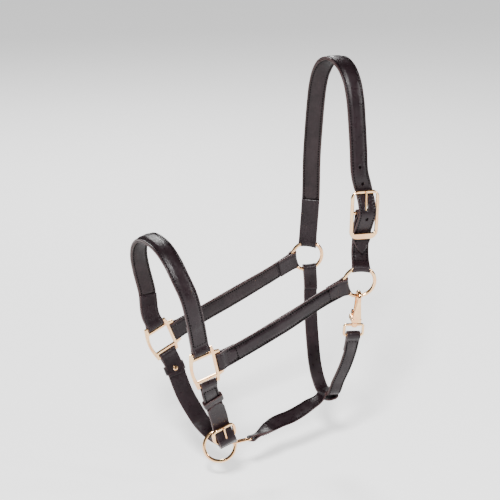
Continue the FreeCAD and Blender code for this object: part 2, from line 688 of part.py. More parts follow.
keeper("near_chin_keeper", station_near(near_stations, CHIN.multVec(Vector(-3, 5, CHIN_TOP + 51))),
       size("strap_width") + 2 * FIT, CHIN_TURN * 2 + 5 * FIT)
FAR_SPACE = 0.5       # between the far keeper and the strap inside it
far_place = station_near(chin_stations, square_bar_centre(FAR, 0, -1) + Vector(6.7, -7, -21.5))
keeper("far_chin_keeper", far_place, size("strap_width") + 0.6, size("chin_thick") + 2 * FAR_SPACE)


def keeper_stud(station, radius=3.4, top=1.8, rim=1.0, dome=0.9):
    """The domed stud on the outer face of the far keeper."""
    centre, _side, outward = station
    seat = centre - outward * (CHIN_HALF + size("keeper_thick") + FAR_SPACE + size("glue_gap"))
    stud = Part.makeCylinder(radius, rim, seat, outward * -1)
    stud = stud.fuse(Part.makeCone(radius, top, dome, seat - outward * rim, outward * -1))
    feature("far_chin_stud", stud)


keeper_stud(far_place)

# ---------------------------------------------------------------- lead ring and jaw link
lead_ring = doc.addObject("Part::Torus", "lead_ring")
bind(lead_ring, Radius1="#strap_width/2 + #ring_room", Radius2="#ring_wire")
lead_ring.Placement = LEAD.multiply(Placement(Vector(0, 0, 0), Rotation(X_AXIS, 90)))
keep(lead_ring, "lead_ring")

LINK_FRONT = LEAD.multVec(Vector(RING_R, 0, 2))
LINK_REACH = size("link_length") / 2 - 2 * size("link_wire") - RING_WIRE - 2 * FIT
LINK = axes_placement(LINK_FRONT + Vector(LINK_REACH, 0, 0.6),
                      Vector(1, -0.06, 0.02), Vector(0.0, 0.35, 1))


def oval_link():
    """A long link of round wire: two straight sides joined by half circles, flat in local XY."""
    radius = size("link_width") / 2 - size("link_wire")
    straight = size("link_length") / 2 - size("link_wire") - radius
    wire = size("link_wire")
    solid = None
    for hand in (-1, 1):
        bar = Part.makeCylinder(wire, straight * 2, Vector(-straight, hand * radius, 0), X_AXIS)
        bend = Part.makeTorus(radius, wire, Vector(hand * straight, 0, 0), Z_AXIS)
        half = Part.makeBox(radius * 2, radius * 4, wire * 4,
                            Vector(straight if hand > 0 else -straight - radius * 2,
                                   -radius * 2, -wire * 2))
        piece = bar.fuse(bend.common(half))
        solid = piece if solid is None else solid.fuse(piece)
    feature("jaw_link", solid.removeSplitter(), LINK)


oval_link()

# ---------------------------------------------------------------- snap hook
SNAP_TOP = ring_rim(NEAR, RING[NEAR].Base - Z_AXIS * 50)
SNAP_UP = Vector(0.06, -0.12, 1).normalize()
REACH, SNAP_WIRE, PIN = size("snap_reach"), size("snap_wire"), size("gate_pin")
SNAP = axes_placement(SNAP_TOP - SNAP_UP * (size("snap_length") - 2 * SNAP_WIRE - RING_WIRE - 0.45),
                      RING[NEAR].Rotation.multVec(X_AXIS), SNAP_UP)
PIN_Z = 11            # the gate's pin over the foot of the snap
EAR_Z = 6             # the floor of the foot's pocket, where the ears start
RIVET, RIVET_HEAD = size("rivet_radius"), size("rivet_radius") + 1.07


def snap_body():
    """The hook: a broad foot, a tapering back and a bow that passes through the ring."""
    bow_z = size("snap_length") - REACH - SNAP_WIRE
    sections = []
    for z, half_x, half_y in ((4, 7.2, 3.4), (14, 5.6, 3.0), (bow_z - 6, 3.2, 2.7),
                              (bow_z, SNAP_WIRE, SNAP_WIRE)):
        ellipse = Part.Ellipse(Vector(0, -REACH, z), half_x, half_y).toShape()
        if half_x <= half_y:
            ellipse = Part.Circle(Vector(0, -REACH, z), Z_AXIS, half_x).toShape()
        sections.append(Part.Wire([ellipse]))
    back = Part.makeLoft(sections, True, False)
    bow = Part.makeTorus(REACH, SNAP_WIRE, Vector(0, 0, bow_z), X_AXIS)
    bow = bow.common(Part.makeBox(20, 40, 20, Vector(-10, -20, bow_z)))
    tip = Part.makeCylinder(SNAP_WIRE, 4, Vector(0, REACH, bow_z - 4), Z_AXIS)
    foot = Part.makeBox(14, REACH * 2 + 5, 7, Vector(-7, -REACH - 2.5, 1.5))
    foot = foot.makeFillet(1.6, foot.Edges)
    ears = Part.makeBox(9, 7, 9, Vector(-4.5, REACH - 4.5, EAR_Z))
    solid = back.fuse([bow, tip, foot, ears])
    room = Part.makeBox(4.6, 12, 12, Vector(-2.3, REACH - 6.5, 8.2))
    solid = solid.cut(room)
    solid = solid.cut(Part.makeCylinder(PIN + 0.05, 20, Vector(-10, REACH, PIN_Z), X_AXIS))
    solid = solid.cut(Part.makeCylinder(RIVET + 0.15, 20, Vector(0, 0, -5), Z_AXIS))
    solid = solid.cut(Part.makeCylinder(RIVET_HEAD + 0.4, 6, Vector(0, 0, EAR_Z), Z_AXIS))
    feature("snap_body", max(solid.Solids, key=lambda body: body.Volume), SNAP)
    return bow_z


def snap_gate(bow_z):
    """The sprung gate: it swings in about its pin and closes against the bow's tip."""
    top = bow_z - 4.4
    blade = Part.makeBox(3.4, 3.0, top - 10.5, Vector(-1.7, REACH - 1.5, 10.5))
    barrel = Part.makeCylinder(PIN + 1.1, 3.4, Vector(-1.7, REACH, PIN_Z), X_AXIS)
    solid = blade.fuse(barrel)
    thumb = Part.makeSphere(2.1, Vector(0, REACH + 0.9, top - 2.6))
    solid = solid.fuse(thumb)
    solid = solid.cut(Part.makeCylinder(PIN + 0.08, 10, Vector(-5, REACH, PIN_Z), X_AXIS))
    feature("snap_gate", solid.removeSplitter(), SNAP)
    pin = Part.makeCylinder(PIN, 9, Vector(-4.5, REACH, PIN_Z), X_AXIS)
    feature("snap_gate_pin", pin, SNAP)


def gate_spring():
    """A small leaf that lies in the foot's slot and presses on the gate's heel."""
    leaf = Part.makeBox(2.6, 0.5, 3.6, Vector(-1.3, REACH - 3.4, 8.6))
    leaf = leaf.fuse(Part.makeBox(2.6, 2.2, 0.4, Vector(-1.3, REACH - 3.4, 8.3)))
    feature("snap_gate_spring", leaf.removeSplitter(), SNAP)


snap_gate(snap_body())
gate_spring()

# The swivel eye: a flat rectangular loop with a boss for the rivet.
EYE_DOWN = 2.6
EYE = SNAP.multiply(Placement(Vector(0, 0, -EYE_DOWN - size("eye_height") / 2),
                              Rotation(Y_AXIS, -3)))


def swivel_eye():
    """The eye that takes the throat strap, and the rivet that lets the hook turn on it."""
    tall, wire = size("eye_height"), size("eye_wire")
    wide = size("throat_width") + 2 * (size("eye_room") + wire)
    outer = Part.makeBox(wide, wire, tall, Vector(-wide / 2, -wire / 2, -tall / 2))
    inner = Part.makeBox(wide - 2 * wire, wire * 2, tall - 2 * wire,
                         Vector(-wide / 2 + wire, -wire, -tall / 2 + wire))
    upright = [edge for edge in outer.Edges if edge.BoundBox.YLength > 1]
    outer = outer.makeFillet(4.5, upright)
    loop = outer.cut(inner)
    flat = [edge for edge in loop.Edges if edge.BoundBox.YLength < 0.01]
    loop = loop.makeFillet(1.1, flat)
    loop.Placement = EYE
    boss = Part.makeCylinder(4.2, wire + 1.4, SNAP.multVec(Vector(0, 0, -EYE_DOWN - wire)),
                             SNAP.Rotation.multVec(Z_AXIS))
    solid = loop.fuse(boss)
    hole = Part.makeCylinder(RIVET + 0.07, 20, SNAP.multVec(Vector(0, 0, -10)),
                             SNAP.Rotation.multVec(Z_AXIS))
    feature("snap_swivel_eye", solid.cut(hole).removeSplitter())
    foot_z = -EYE_DOWN - wire - 1.3
    head_z, head_top = 8.8, 9.7
    shank = Part.makeCylinder(RIVET, head_top - foot_z, Vector(0, 0, foot_z), Z_AXIS)
    head = Part.makeCylinder(RIVET_HEAD, head_top - head_z, Vector(0, 0, head_z), Z_AXIS)
    low = Part.makeCylinder(RIVET_HEAD, 0.8, Vector(0, 0, foot_z), Z_AXIS)
    feature("snap_rivet", shank.fuse([head, low]).removeSplitter(), SNAP)


swivel_eye()


# ---------------------------------------------------------------- throat and jaw straps
def throat_points():
    """From the snap's eye down under the throat and up to the far ring."""
    bar = EYE.multVec(Vector(0, 0, -size("eye_height") / 2 + size("eye_wire") / 2))
    low = -size("throat_drop")
    back, gap = size("ring_back"), size("ring_gap")
    rim = ring_rim(FAR, Vector(back + 20, gap - 7.4, -size("ring_drop") - 101))
    points = [bar, bar + EYE.Rotation.multVec(Vector(0, 1.5, -12))]
    # Back from the rings' plane, share of the rings' gap, share of the way up from the lowest.
    points += [Vector(back + x, gap * y, low + (bar.z - low) * z)
               for x, y, z in ((1, -0.697, 0.75), (0.5, -0.527, 0.512), (-2, -0.312, 0.247),
                               (-3.5, -0.156, 0.055))]
    points += [Vector(back + x, gap * y, low + (rim.z - low) * z)
               for x, y, z in ((-4, 0.022, 0.0095), (-4.5, 0.2, 0.0208), (-4.5, 0.386, 0.0953),
                               (-3, 0.564, 0.2085), (0, 0.727, 0.3634), (2, 0.846, 0.542),
                               (3, 0.92, 0.7505))]
    points += [rim + Vector(0.6, -1.2, -15), rim]
    eye_across = EYE.Rotation.multVec(X_AXIS)
    ring_across = RING[FAR].Rotation.multVec(X_AXIS)
    sides = [eye_across] * 2 + [Rotation(Z_AXIS, -12).multVec(X_AXIS)] * 11 + [ring_across] * 2
    return bar, rim, points, sides


def throat_strap():
    """The strap under the throat, with a loop at the snap's eye and one at the far ring."""
    bar, rim, points, sides = throat_points()
    stations = smooth(points, sides, 3)
    half = size("throat_thick") / 2
    width = size("throat_width")
    solid = band(stations, width, -half, half)
    along = (rim - points[-2]).normalize()
    eye_bar_room = size("eye_wire") * math.sqrt(0.5) - 0.3
    loops = [bar_loop(bar, sides[0], eye_bar_room, width),
             ring_loop(RING[FAR], RING_R, RING_WIRE, rim, sides[-1], along, width)]
    feature("throat_strap", strap_with_loops(solid, loops))
    return stations


def jaw_strap(throat):
    """From the jaw link back to a loop round the lowest part of the throat strap."""
    link_end = LINK.multVec(Vector(size("link_length") / 2 - size("link_wire"), 0, 0))
    link_across = LINK.Rotation.multVec(Y_AXIS) * -1
    low = station_near(throat, Vector(size("ring_back") - 4, 1.5, -size("throat_drop")))
    throat_along = low[1].cross(low[2])
    half, width = size("jaw_thick") / 2, size("jaw_width")
    room = Vector(size("throat_width") + 1.2, size("throat_thick") + 7.0, 0)
    loop = slab(low[0], low[1], throat_along, room.x + 2 * TURN + 1, width / 2,
                room.y + 2 * TURN)
    long_edges = [edge for edge in loop.Edges if abs(edge.Length - width) < 1]
    loop = loop.makeFillet(4.0, long_edges)
    hollow = slab(low[0], low[1], throat_along, room.x, width, room.y)
    hollow_edges = [edge for edge in hollow.Edges if abs(edge.Length - width * 2) < 1]
    hollow = hollow.makeFillet(2.0, hollow_edges)
    front = low[0] - low[1] * (room.x / 2 + TURN * 0.6)
    leave = link_end + Vector(11, 0, 1.5)
    # The way back to the throat: shares of the length, the sideways step and the rise.
    points = [link_end, leave]
    points += [Vector(leave.x + (front.x - leave.x) * x, leave.y + (front.y - leave.y) * y,
                      leave.z + (front.z - leave.z) * z)
               for x, y, z in ((0.292, 0.722, 0.287), (0.548, 0.84, 0.415), (0.786, 0.95, 0.666))]
    points.append(front)
    sides = [link_across, link_across, Vector(0.1, -0.72, -0.7), Vector(0.1, -0.72, -0.7),
             Vector(0.1, -0.85, -0.5), throat_along * -1]
    stations = smooth(points, sides, 4)
    solid = band(stations, width, -half, half).cut(hollow)
    solid = max(solid.Solids, key=lambda body: body.Volume).fuse(loop.cut(hollow))
    wrap = bar_at(link_end, link_across, size("link_wire") + FIT + 2.0, width)
    solid = solid.fuse(wrap)
    radius = size("link_width") / 2 - size("link_wire")
    bend = Part.makeTorus(radius, size("link_wire") + FIT, Vector(0, 0, 0), Z_AXIS)
    bend.Placement = LINK.multiply(Placement(
        Vector(size("link_length") / 2 - size("link_wire") - radius, 0, 0), Rotation()))
    solid = solid.cut(bend)
    feature("jaw_strap", max(solid.Solids, key=lambda body: body.Volume))


jaw_strap(throat_strap())

# ---------------------------------------------------------------- checks and export
doc.recompute()
for item in doc.Objects:
    if "Invalid" in item.State or "Error" in item.State:
        raise RuntimeError("%s failed: %s" % (item.Label, item.State))
os.makedirs("parts", exist_ok=True)
for item in parts:
    shape = item.Shape
    if shape.isNull() or not shape.isValid() or len(shape.Solids) != 1:
        raise RuntimeError("%s has %d solids, valid %s"
                           % (item.Label, len(shape.Solids), shape.isValid()))
for item in parts:
    item.Shape.exportStep("parts/%s.step" % item.Label)
    print("%-20s %8.0f mm3" % (item.Label, item.Shape.Volume))
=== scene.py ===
# A leather headcollar as it hangs from the poll. Lengths in the point lists are millimetres,
# everything given to Blender is in metres. -Y is the near (left) side, -X the nose, +Z up.
import json
import math

import bpy
import numpy as np
from mathutils import Matrix, Vector, noise


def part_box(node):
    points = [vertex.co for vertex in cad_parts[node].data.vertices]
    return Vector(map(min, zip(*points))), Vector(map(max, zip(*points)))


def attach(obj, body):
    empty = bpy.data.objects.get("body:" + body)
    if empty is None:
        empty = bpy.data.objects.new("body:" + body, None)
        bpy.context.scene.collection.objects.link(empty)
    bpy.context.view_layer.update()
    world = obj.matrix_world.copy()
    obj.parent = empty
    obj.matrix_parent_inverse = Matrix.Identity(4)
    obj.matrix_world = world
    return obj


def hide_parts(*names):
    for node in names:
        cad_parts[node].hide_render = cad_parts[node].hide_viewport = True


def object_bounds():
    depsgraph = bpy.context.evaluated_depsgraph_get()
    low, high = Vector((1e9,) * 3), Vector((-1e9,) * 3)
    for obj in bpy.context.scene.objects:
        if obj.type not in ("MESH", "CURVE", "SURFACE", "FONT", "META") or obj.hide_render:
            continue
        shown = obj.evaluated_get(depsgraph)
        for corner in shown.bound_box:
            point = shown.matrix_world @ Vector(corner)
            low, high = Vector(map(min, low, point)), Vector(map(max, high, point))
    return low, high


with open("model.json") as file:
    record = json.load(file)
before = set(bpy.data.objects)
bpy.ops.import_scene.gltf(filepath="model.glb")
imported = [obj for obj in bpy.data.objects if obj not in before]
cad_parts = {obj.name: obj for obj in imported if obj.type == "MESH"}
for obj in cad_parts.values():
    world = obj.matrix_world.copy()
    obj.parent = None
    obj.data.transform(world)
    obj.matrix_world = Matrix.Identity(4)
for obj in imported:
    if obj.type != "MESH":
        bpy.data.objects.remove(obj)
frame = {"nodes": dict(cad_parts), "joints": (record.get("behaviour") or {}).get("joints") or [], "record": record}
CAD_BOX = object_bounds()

MM = 0.001
NEAR, FAR = -1, 1
AXIS_X, AXIS_Z = Vector((1, 0, 0)), Vector((0, 0, 1))
JOINTS = {joint["name"]: joint for joint in frame["joints"]}
OPENINGS = {item["name"]: item["box_m"] for item in frame["record"]["physics"]["openings"]}


# ------------------------------------------------------------------ places taken from the frame
class Place:
    """A local frame: X across, Z up, Y inward. Local lengths are millimetres."""

    def __init__(self, origin, across, up):
        self.origin = Vector(origin)
        self.up = Vector(up).normalized()
        across = Vector(across)
        self.across = (across - self.up * across.dot(self.up)).normalized()
        self.inward = self.up.cross(self.across)

    def at(self, x, y, z):
        return self.origin + (self.across * x + self.inward * y + self.up * z) * MM


def middle(node):
    low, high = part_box(node)
    return (low + high) / 2


def joint_axis(name):
    return Vector(JOINTS[name]["axis"])


def joint_point(name):
    return Vector(JOINTS[name]["pos_m"])


def ring_place(node, joint):
    """A ring's frame: local Y is its axis."""
    axis = joint_axis(joint)
    across = axis.cross(AXIS_Z).normalized()
    return Place(middle(node), across, across.cross(axis))


def square_place(opening, pitch):
    low, high = OPENINGS[opening]
    centre = (Vector(low) + Vector(high)) / 2
    turn = math.radians(pitch)
    return Place(centre, (math.cos(turn), 0, math.sin(turn)), (-math.sin(turn), 0, math.cos(turn)))


RING_R, RING_WIRE, FIT = 21.5, 2.5, 0.35
STRAP_W, OUTER_T, LINING_T, TURN_T = 25.0, 3.0, 2.0, 2.2
RING = {NEAR: ring_place("near_cheek_ring", "near_ring_spin"),
        FAR: ring_place("far_cheek_ring", "far_ring_spin")}
SQUARE = {NEAR: square_place("near_square_hole", 13), FAR: square_place("far_square_hole", 23)}
SQUARE_OPEN, SQUARE_BAR, SQUARE_SLOT = 29.0, 4.0, 3.4
OUTER_BAR = SQUARE_OPEN / 2 + SQUARE_BAR * 1.5 + SQUARE_SLOT
BUCKLE_BAR_Z = 3
BUCKLE_BAR = Place(joint_point("crown_buckle_tilt"), joint_axis("crown_buckle_tilt"),
                   Vector((0.03, 0, 1)))
BUCKLE = Place(BUCKLE_BAR.at(0, 0, -BUCKLE_BAR_Z), BUCKLE_BAR.across, BUCKLE_BAR.up)
CHIN = Place(joint_point("chin_buckle_tilt"), joint_axis("chin_buckle_tilt"),
             Vector((-0.313, -0.224, 0.924)))
LEAD = ring_place("lead_ring", "lead_ring_spin")
SNAP = Place(joint_point("snap_swivel"), joint_axis("gate_hinge"), joint_axis("snap_swivel"))


def ring_rim(side, toward):
    """The wire's centre on a cheek ring, on the side that faces a point."""
    place = RING[side]
    way = toward - place.origin
    way = (way - place.inward * way.dot(place.inward)).normalized()
    return place.origin + way * RING_R * MM


def square_bar(side, x, z):
    """The centre of an outer bar of a square: x and z are -1, 0 or 1."""
    return SQUARE[side].at(x * OUTER_BAR, 0, z * OUTER_BAR)


# ------------------------------------------------------------------ camera, light and floor
CAMERA_AZIMUTH, CAMERA_ELEVATION, CAMERA_DISTANCE, CAMERA_LENS = -30, 17.5, 2.3, 123.1
CAMERA_AIM = Vector((-0.1305, 0, -0.2514))
WORLD_LIGHT, WORLD_SEEN = 0.1, 8
FLOOR_HALF, FLOOR_BELOW, FLOOR_GLOW = 6, 0.03, 0.75


def add_camera():
    camera = bpy.data.objects.new("camera", bpy.data.cameras.new("camera"))
    bpy.context.scene.collection.objects.link(camera)
    azimuth, elevation = math.radians(CAMERA_AZIMUTH), math.radians(CAMERA_ELEVATION)
    back = Vector((math.sin(azimuth) * math.cos(elevation),
                   -math.cos(azimuth) * math.cos(elevation), math.sin(elevation)))
    camera.location = CAMERA_AIM + back * CAMERA_DISTANCE
    camera.rotation_euler = back.to_track_quat("Z", "Y").to_euler()
    camera.data.sensor_width = 36
    camera.data.lens = CAMERA_LENS
    bpy.context.scene.camera = camera


def add_light(name, location, aim, size, power):
    data = bpy.data.lights.new(name, "AREA")
    data.shape = "DISK"
    data.size = size
    data.energy = power
    lamp = bpy.data.objects.new(name, data)
    lamp.location = location
    lamp.rotation_euler = (Vector(location) - Vector(aim)).to_track_quat("Z", "Y").to_euler()
    bpy.context.scene.collection.objects.link(lamp)


def add_world():
    """A pale studio: white where it is seen, dimmer where it only lights the object."""
    world = bpy.data.worlds.new("studio")
    bpy.context.scene.world = world
    world.use_nodes = True
    tree = world.node_tree
    tree.nodes.clear()
    out = tree.nodes.new("ShaderNodeOutputWorld")
    mix = tree.nodes.new("ShaderNodeMixShader")
    path = tree.nodes.new("ShaderNodeLightPath")
    tree.links.new(path.outputs["Is Camera Ray"], mix.inputs["Fac"])
    for slot, strength in ((1, WORLD_LIGHT), (2, WORLD_SEEN)):
        shade = tree.nodes.new("ShaderNodeBackground")
        shade.inputs["Color"].default_value = (1, 1, 1, 1)
        shade.inputs["Strength"].default_value = strength
        tree.links.new(shade.outputs["Background"], mix.inputs[slot])
    tree.links.new(mix.outputs["Shader"], out.inputs["Surface"])


def add_studio():
    aim = (-0.13, 0, -0.25)
    add_light("key", (-1.5, -1.8, 1.7), aim, 0.5, 190)
    add_light("fill", (1.8, -1.5, 0.5), aim, 0.5, 34)
    add_light("back", (0.5, 1.9, 1.3), aim, 0.9, 60)
    add_world()
    size = FLOOR_HALF
    mesh = bpy.data.meshes.new("floor")
    level = CAD_BOX[0][2] - FLOOR_BELOW
    corners = [(-size, -size, level), (size, -size, level), (size, size, level),
               (-size, size, level)]
    mesh.from_pydata(corners, [], [(0, 1, 2, 3)])
    floor = bpy.data.objects.new("floor", mesh)
    bpy.context.scene.collection.objects.link(floor)
    paper = plain_material("floor_paper", (0.95, 0.95, 0.95), 0.9)
    shader = paper.node_tree.nodes["Principled BSDF"]
    shader.inputs["Emission Color"].default_value = (1, 1, 1, 1)
    shader.inputs["Emission Strength"].default_value = FLOOR_GLOW
    floor.data.materials.append(paper)


# ------------------------------------------------------------------ materials
def plain_material(name, colour, roughness, metallic=0.0):
    material = bpy.data.materials.new(name)
    material.use_nodes = True
    shader = material.node_tree.nodes["Principled BSDF"]
    shader.inputs["Base Color"].default_value = (*colour, 1)
    shader.inputs["Roughness"].default_value = roughness
    shader.inputs["Metallic"].default_value = metallic
    return material


class Nodes:
    """Short forms for building a material's node tree."""

    def __init__(self, name, colour, roughness, metallic=0.0):
        self.material = plain_material(name, colour, roughness, metallic)
        self.tree = self.material.node_tree
        self.shader = self.tree.nodes["Principled BSDF"]
        self.coords = self.tree.nodes.new("ShaderNodeTexCoord").outputs["Object"]

    def link(self, output, socket):
        self.tree.links.new(output, socket)

    def stretched(self, scale):
        mapping = self.tree.nodes.new("ShaderNodeMapping")
        mapping.inputs["Scale"].default_value = scale
        self.link(self.coords, mapping.inputs["Vector"])
        return mapping.outputs["Vector"]

    def noise(self, scale, detail=4, roughness=0.55, vector=None):
        node = self.tree.nodes.new("ShaderNodeTexNoise")
        node.inputs["Scale"].default_value = scale
        node.inputs["Detail"].default_value = detail
        node.inputs["Roughness"].default_value = roughness
        self.link(vector or self.coords, node.inputs["Vector"])
        return node.outputs["Fac"]

    def cells(self, scale):
        node = self.tree.nodes.new("ShaderNodeTexVoronoi")
        node.feature = "DISTANCE_TO_EDGE"
        node.inputs["Scale"].default_value = scale
        self.link(self.coords, node.inputs["Vector"])
        return node.outputs["Distance"]

    def attribute(self, name):
        node = self.tree.nodes.new("ShaderNodeAttribute")
        node.attribute_name = name
        return node.outputs["Fac"]

    def span(self, value, low, high, to_low, to_high):
        node = self.tree.nodes.new("ShaderNodeMapRange")
        for socket, number in zip(("From Min", "From Max", "To Min", "To Max"),
                                  (low, high, to_low, to_high)):
            node.inputs[socket].default_value = number
        self.link(value, node.inputs["Value"])
        return node.outputs["Result"]

    def mix(self, factor, first, second):
        node = self.tree.nodes.new("ShaderNodeMix")
        node.data_type = "RGBA"
        self.link(factor, node.inputs["Factor"])
        for socket, colour in ((node.inputs[6], first), (node.inputs[7], second)):
            if isinstance(colour, tuple):
                socket.default_value = (*colour, 1)
            else:
                self.link(colour, socket)
        return node.outputs[2]

    def add(self, first, second, weight):
        node = self.tree.nodes.new("ShaderNodeMath")
        node.operation = "MULTIPLY_ADD"
        node.inputs[1].default_value = weight
        self.link(second, node.inputs[0])
        self.link(first, node.inputs[2])
        return node.outputs["Value"]

    def bump(self, height, distance, strength):
        node = self.tree.nodes.new("ShaderNodeBump")
        node.inputs["Distance"].default_value = distance
        node.inputs["Strength"].default_value = strength
        self.link(height, node.inputs["Height"])
        self.link(node.outputs["Normal"], self.shader.inputs["Normal"])


def leather_material(name, dark, light, worn, rough, grain):
    """Dressed leather: soft mottling, a fine pebbled grain, and paler burnished edges."""
    nodes = Nodes(name, dark, rough)
    mottle = nodes.span(nodes.noise(45, 5, 0.6), 0.35, 0.7, 0, 1)
    colour = nodes.mix(mottle, dark, light)
    edge = nodes.span(nodes.attribute("edge"), 0, 1, 0, 0.55)
    colour = nodes.mix(edge, colour, worn)
    nodes.link(colour, nodes.shader.inputs["Base Color"])
    shine = nodes.span(nodes.noise(160, 3), 0.3, 0.7, rough - 0.07, rough + 0.09)
    nodes.link(shine, nodes.shader.inputs["Roughness"])
    height = nodes.span(nodes.cells(grain), 0, 0.35, 0, 1)
    height = nodes.add(height, nodes.noise(grain * 0.35, 5, 0.65), 1.4)
    nodes.bump(height, 0.00016, 0.5)
    nodes.shader.inputs["Specular IOR Level"].default_value = 0.22
    return nodes.material


def brass_material(name, colour, warm, rough):
    """Polished brass with a warmer cast in patches and fine polishing marks."""
    nodes = Nodes(name, colour, rough, 1.0)
    patch = nodes.span(nodes.noise(70, 4), 0.35, 0.68, 0, 1)
    nodes.link(nodes.mix(patch, colour, warm), nodes.shader.inputs["Base Color"])
    marks = nodes.noise(900, 3, 0.6, nodes.stretched((1, 1, 0.08)))
    nodes.link(nodes.span(marks, 0.3, 0.75, rough - 0.04, rough + 0.1),
               nodes.shader.inputs["Roughness"])
    nodes.bump(nodes.noise(380, 3), 0.00006, 0.25)
    return nodes.material


def thread_material():
    """Waxed linen thread with a tight twist."""
    nodes = Nodes("thread", (0.006, 0.005, 0.005), 0.7)
    nodes.bump(nodes.noise(2600, 2), 0.0001, 0.5)
    mottle = nodes.span(nodes.noise(300, 2), 0.3, 0.7, 0, 1)
    nodes.link(nodes.mix(mottle, (0.002, 0.0015, 0.0015), (0.004, 0.003, 0.003)),
               nodes.shader.inputs["Base Color"])
    nodes.shader.inputs["Specular IOR Level"].default_value = 0.02
    return nodes.material


LEATHER = leather_material("leather_outer", (0.0075, 0.0040, 0.0052), (0.0145, 0.0082, 0.0102),
                           (0.058, 0.027, 0.026), 0.31, 950)
LINING = leather_material("leather_lining", (0.0085, 0.0048, 0.0056), (0.0170, 0.0100, 0.0112),
                          (0.060, 0.032, 0.028), 0.46, 700)
BRASS = brass_material("rose_brass", (0.90, 0.60, 0.31), (0.82, 0.44, 0.22), 0.13)
STEEL = plain_material("spring_steel", (0.55, 0.54, 0.52), 0.3, 1.0)
THREAD = thread_material()

add_camera()
add_studio()


# ------------------------------------------------------------------ curves along straps
def smooth(points, sides, spacing=2.6):
    """A smooth curve through the points, in metres. Each station is (centre, side, outward)."""
    lengths = [(b - a).length for a, b in zip(points, points[1:])]
    ways = [(b - a) / length for a, b, length in zip(points, points[1:], lengths)]
    slopes = [ways[0]]
    for index in range(1, len(ways)):
        before, after = lengths[index - 1], lengths[index]
        slopes.append((ways[index - 1] * after + ways[index] * before) / (before + after))
    slopes.append(ways[-1])
    stations = []
    for index, reach in enumerate(lengths):
        a, b = points[index:index + 2]
        leave, arrive = slopes[index] * reach, slopes[index + 1] * reach
        steps = max(2, round(reach / (spacing * MM)))
        for step in range(steps + (index == len(lengths) - 1)):
            t = step / steps
            centre = (a * (2 * t**3 - 3 * t**2 + 1) + leave * (t**3 - 2 * t**2 + t)
                      + b * (3 * t**2 - 2 * t**3) + arrive * (t**3 - t**2))
            tangent = ((b - a) * (6 * t - 6 * t**2) + leave * (3 * t**2 - 4 * t + 1)
                       + arrive * (3 * t**2 - 2 * t)).normalized()
            side = sides[index] * (1 - t) + sides[index + 1] * t
            side = (side - tangent * side.dot(tangent)).normalized()
            stations.append((centre, side, tangent.cross(side)))
    return stations


class Path:
    """Stations along a strap, with lengths in millimetres measured from the first one."""

    def __init__(self, stations):
        self.centre = np.array([tuple(s[0]) for s in stations])
        self.side = np.array([tuple(s[1]) for s in stations])
        self.out = np.array([tuple(s[2]) for s in stations])
        steps = np.linalg.norm(np.diff(self.centre, axis=0), axis=1) / MM
        self.run = np.concatenate(([0], np.cumsum(steps)))
        self.length = self.run[-1]

    def frame_at(self, run):
        pick = []
        for table in (self.centre, self.side, self.out):
            pick.append(Vector([np.interp(run, self.run, table[:, axis]) for axis in range(3)]))
        return pick[0], pick[1].normalized(), pick[2].normalized()

    def at(self, run, across, height):
        centre, side, out = self.frame_at(run)
        return centre + (side * across + out * height) * MM

    def run_near(self, point):
        """The length along the path at which it passes closest to a point."""
        gaps = np.linalg.norm(self.centre - np.array(tuple(point)), axis=1)
        return float(self.run[int(np.argmin(gaps))])


# ------------------------------------------------------------------ strap cross-sections
STITCH_IN = 3.1          # stitch rows, from the strap's edge
PAD_START, PAD_RISE = 4.3, 3.0
EDGE_ROUND = 0.95


def step_up(value, low, high):
    t = min(max((value - low) / (high - low), 0), 1)
    return t * t * (3 - 2 * t)


def face_height(edge, half_thick, pad, groove):
    """Height of a strap's face over its middle layer, at a distance in from the edge."""
    height = half_thick + pad * step_up(edge, PAD_START, PAD_START + PAD_RISE)
    height -= groove * math.exp(-((edge - STITCH_IN) / 0.6) ** 2)
    height -= groove * 0.4 * math.exp(-((edge - 1.55) / 0.22) ** 2)
    if edge < EDGE_ROUND:
        height -= EDGE_ROUND - math.sqrt(max(EDGE_ROUND**2 - (EDGE_ROUND - edge) ** 2, 0))
    return height


def edge_samples(half):
    """Places across half a strap, closer together at the edge, the crease and the stitches."""
    fine = [0, 0.12, 0.4, 0.95, 1.3, 1.55, 1.8, 2.4, 2.8, 3.1, 3.4, 3.8, 4.3, 5.2, 6.2, 7.3]
    return [edge for edge in fine if edge < half - 1.5]


def section(width, half_thick, top_pad, low_pad, groove, low_groove):
    """Rounds of (across, height, edge shade) for one cross-section, outer face first."""
    half = width / 2
    edges = edge_samples(half)
    across = [-half + edge for edge in edges] + [-(half - edges[-1]) * 0.45, 0.0]
    across += [(half - edges[-1]) * 0.45] + [half - edge for edge in reversed(edges)]
    rows = []
    for pad, cut, sign, order in ((top_pad, groove, 1, across),
                                  (low_pad, low_groove, -1, across[::-1])):
        for place in order:
            edge = half - abs(place)
            shade = math.exp(-(edge / 0.9) ** 2)
            rows.append((place, sign * face_height(edge, half_thick, pad, cut), shade))
    return rows


def make_object(name, points, faces, materials, body, shades=None, smooth_faces=True):
    """A mesh object that rides on a body."""
    mesh = bpy.data.meshes.new(name)
    mesh.from_pydata([tuple(point) for point in points], [], faces)
    mesh.validate()
    for material in materials:
        mesh.materials.append(material)
    if smooth_faces:
        mesh.polygons.foreach_set("use_smooth", [True] * len(mesh.polygons))
    if shades is not None:
        layer = mesh.attributes.new("edge", "FLOAT", "POINT")
        layer.data.foreach_set("value", shades)
    mesh.update()
    item = bpy.data.objects.new(name, mesh)
    bpy.context.scene.collection.objects.link(item)
    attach(item, body)
    return item


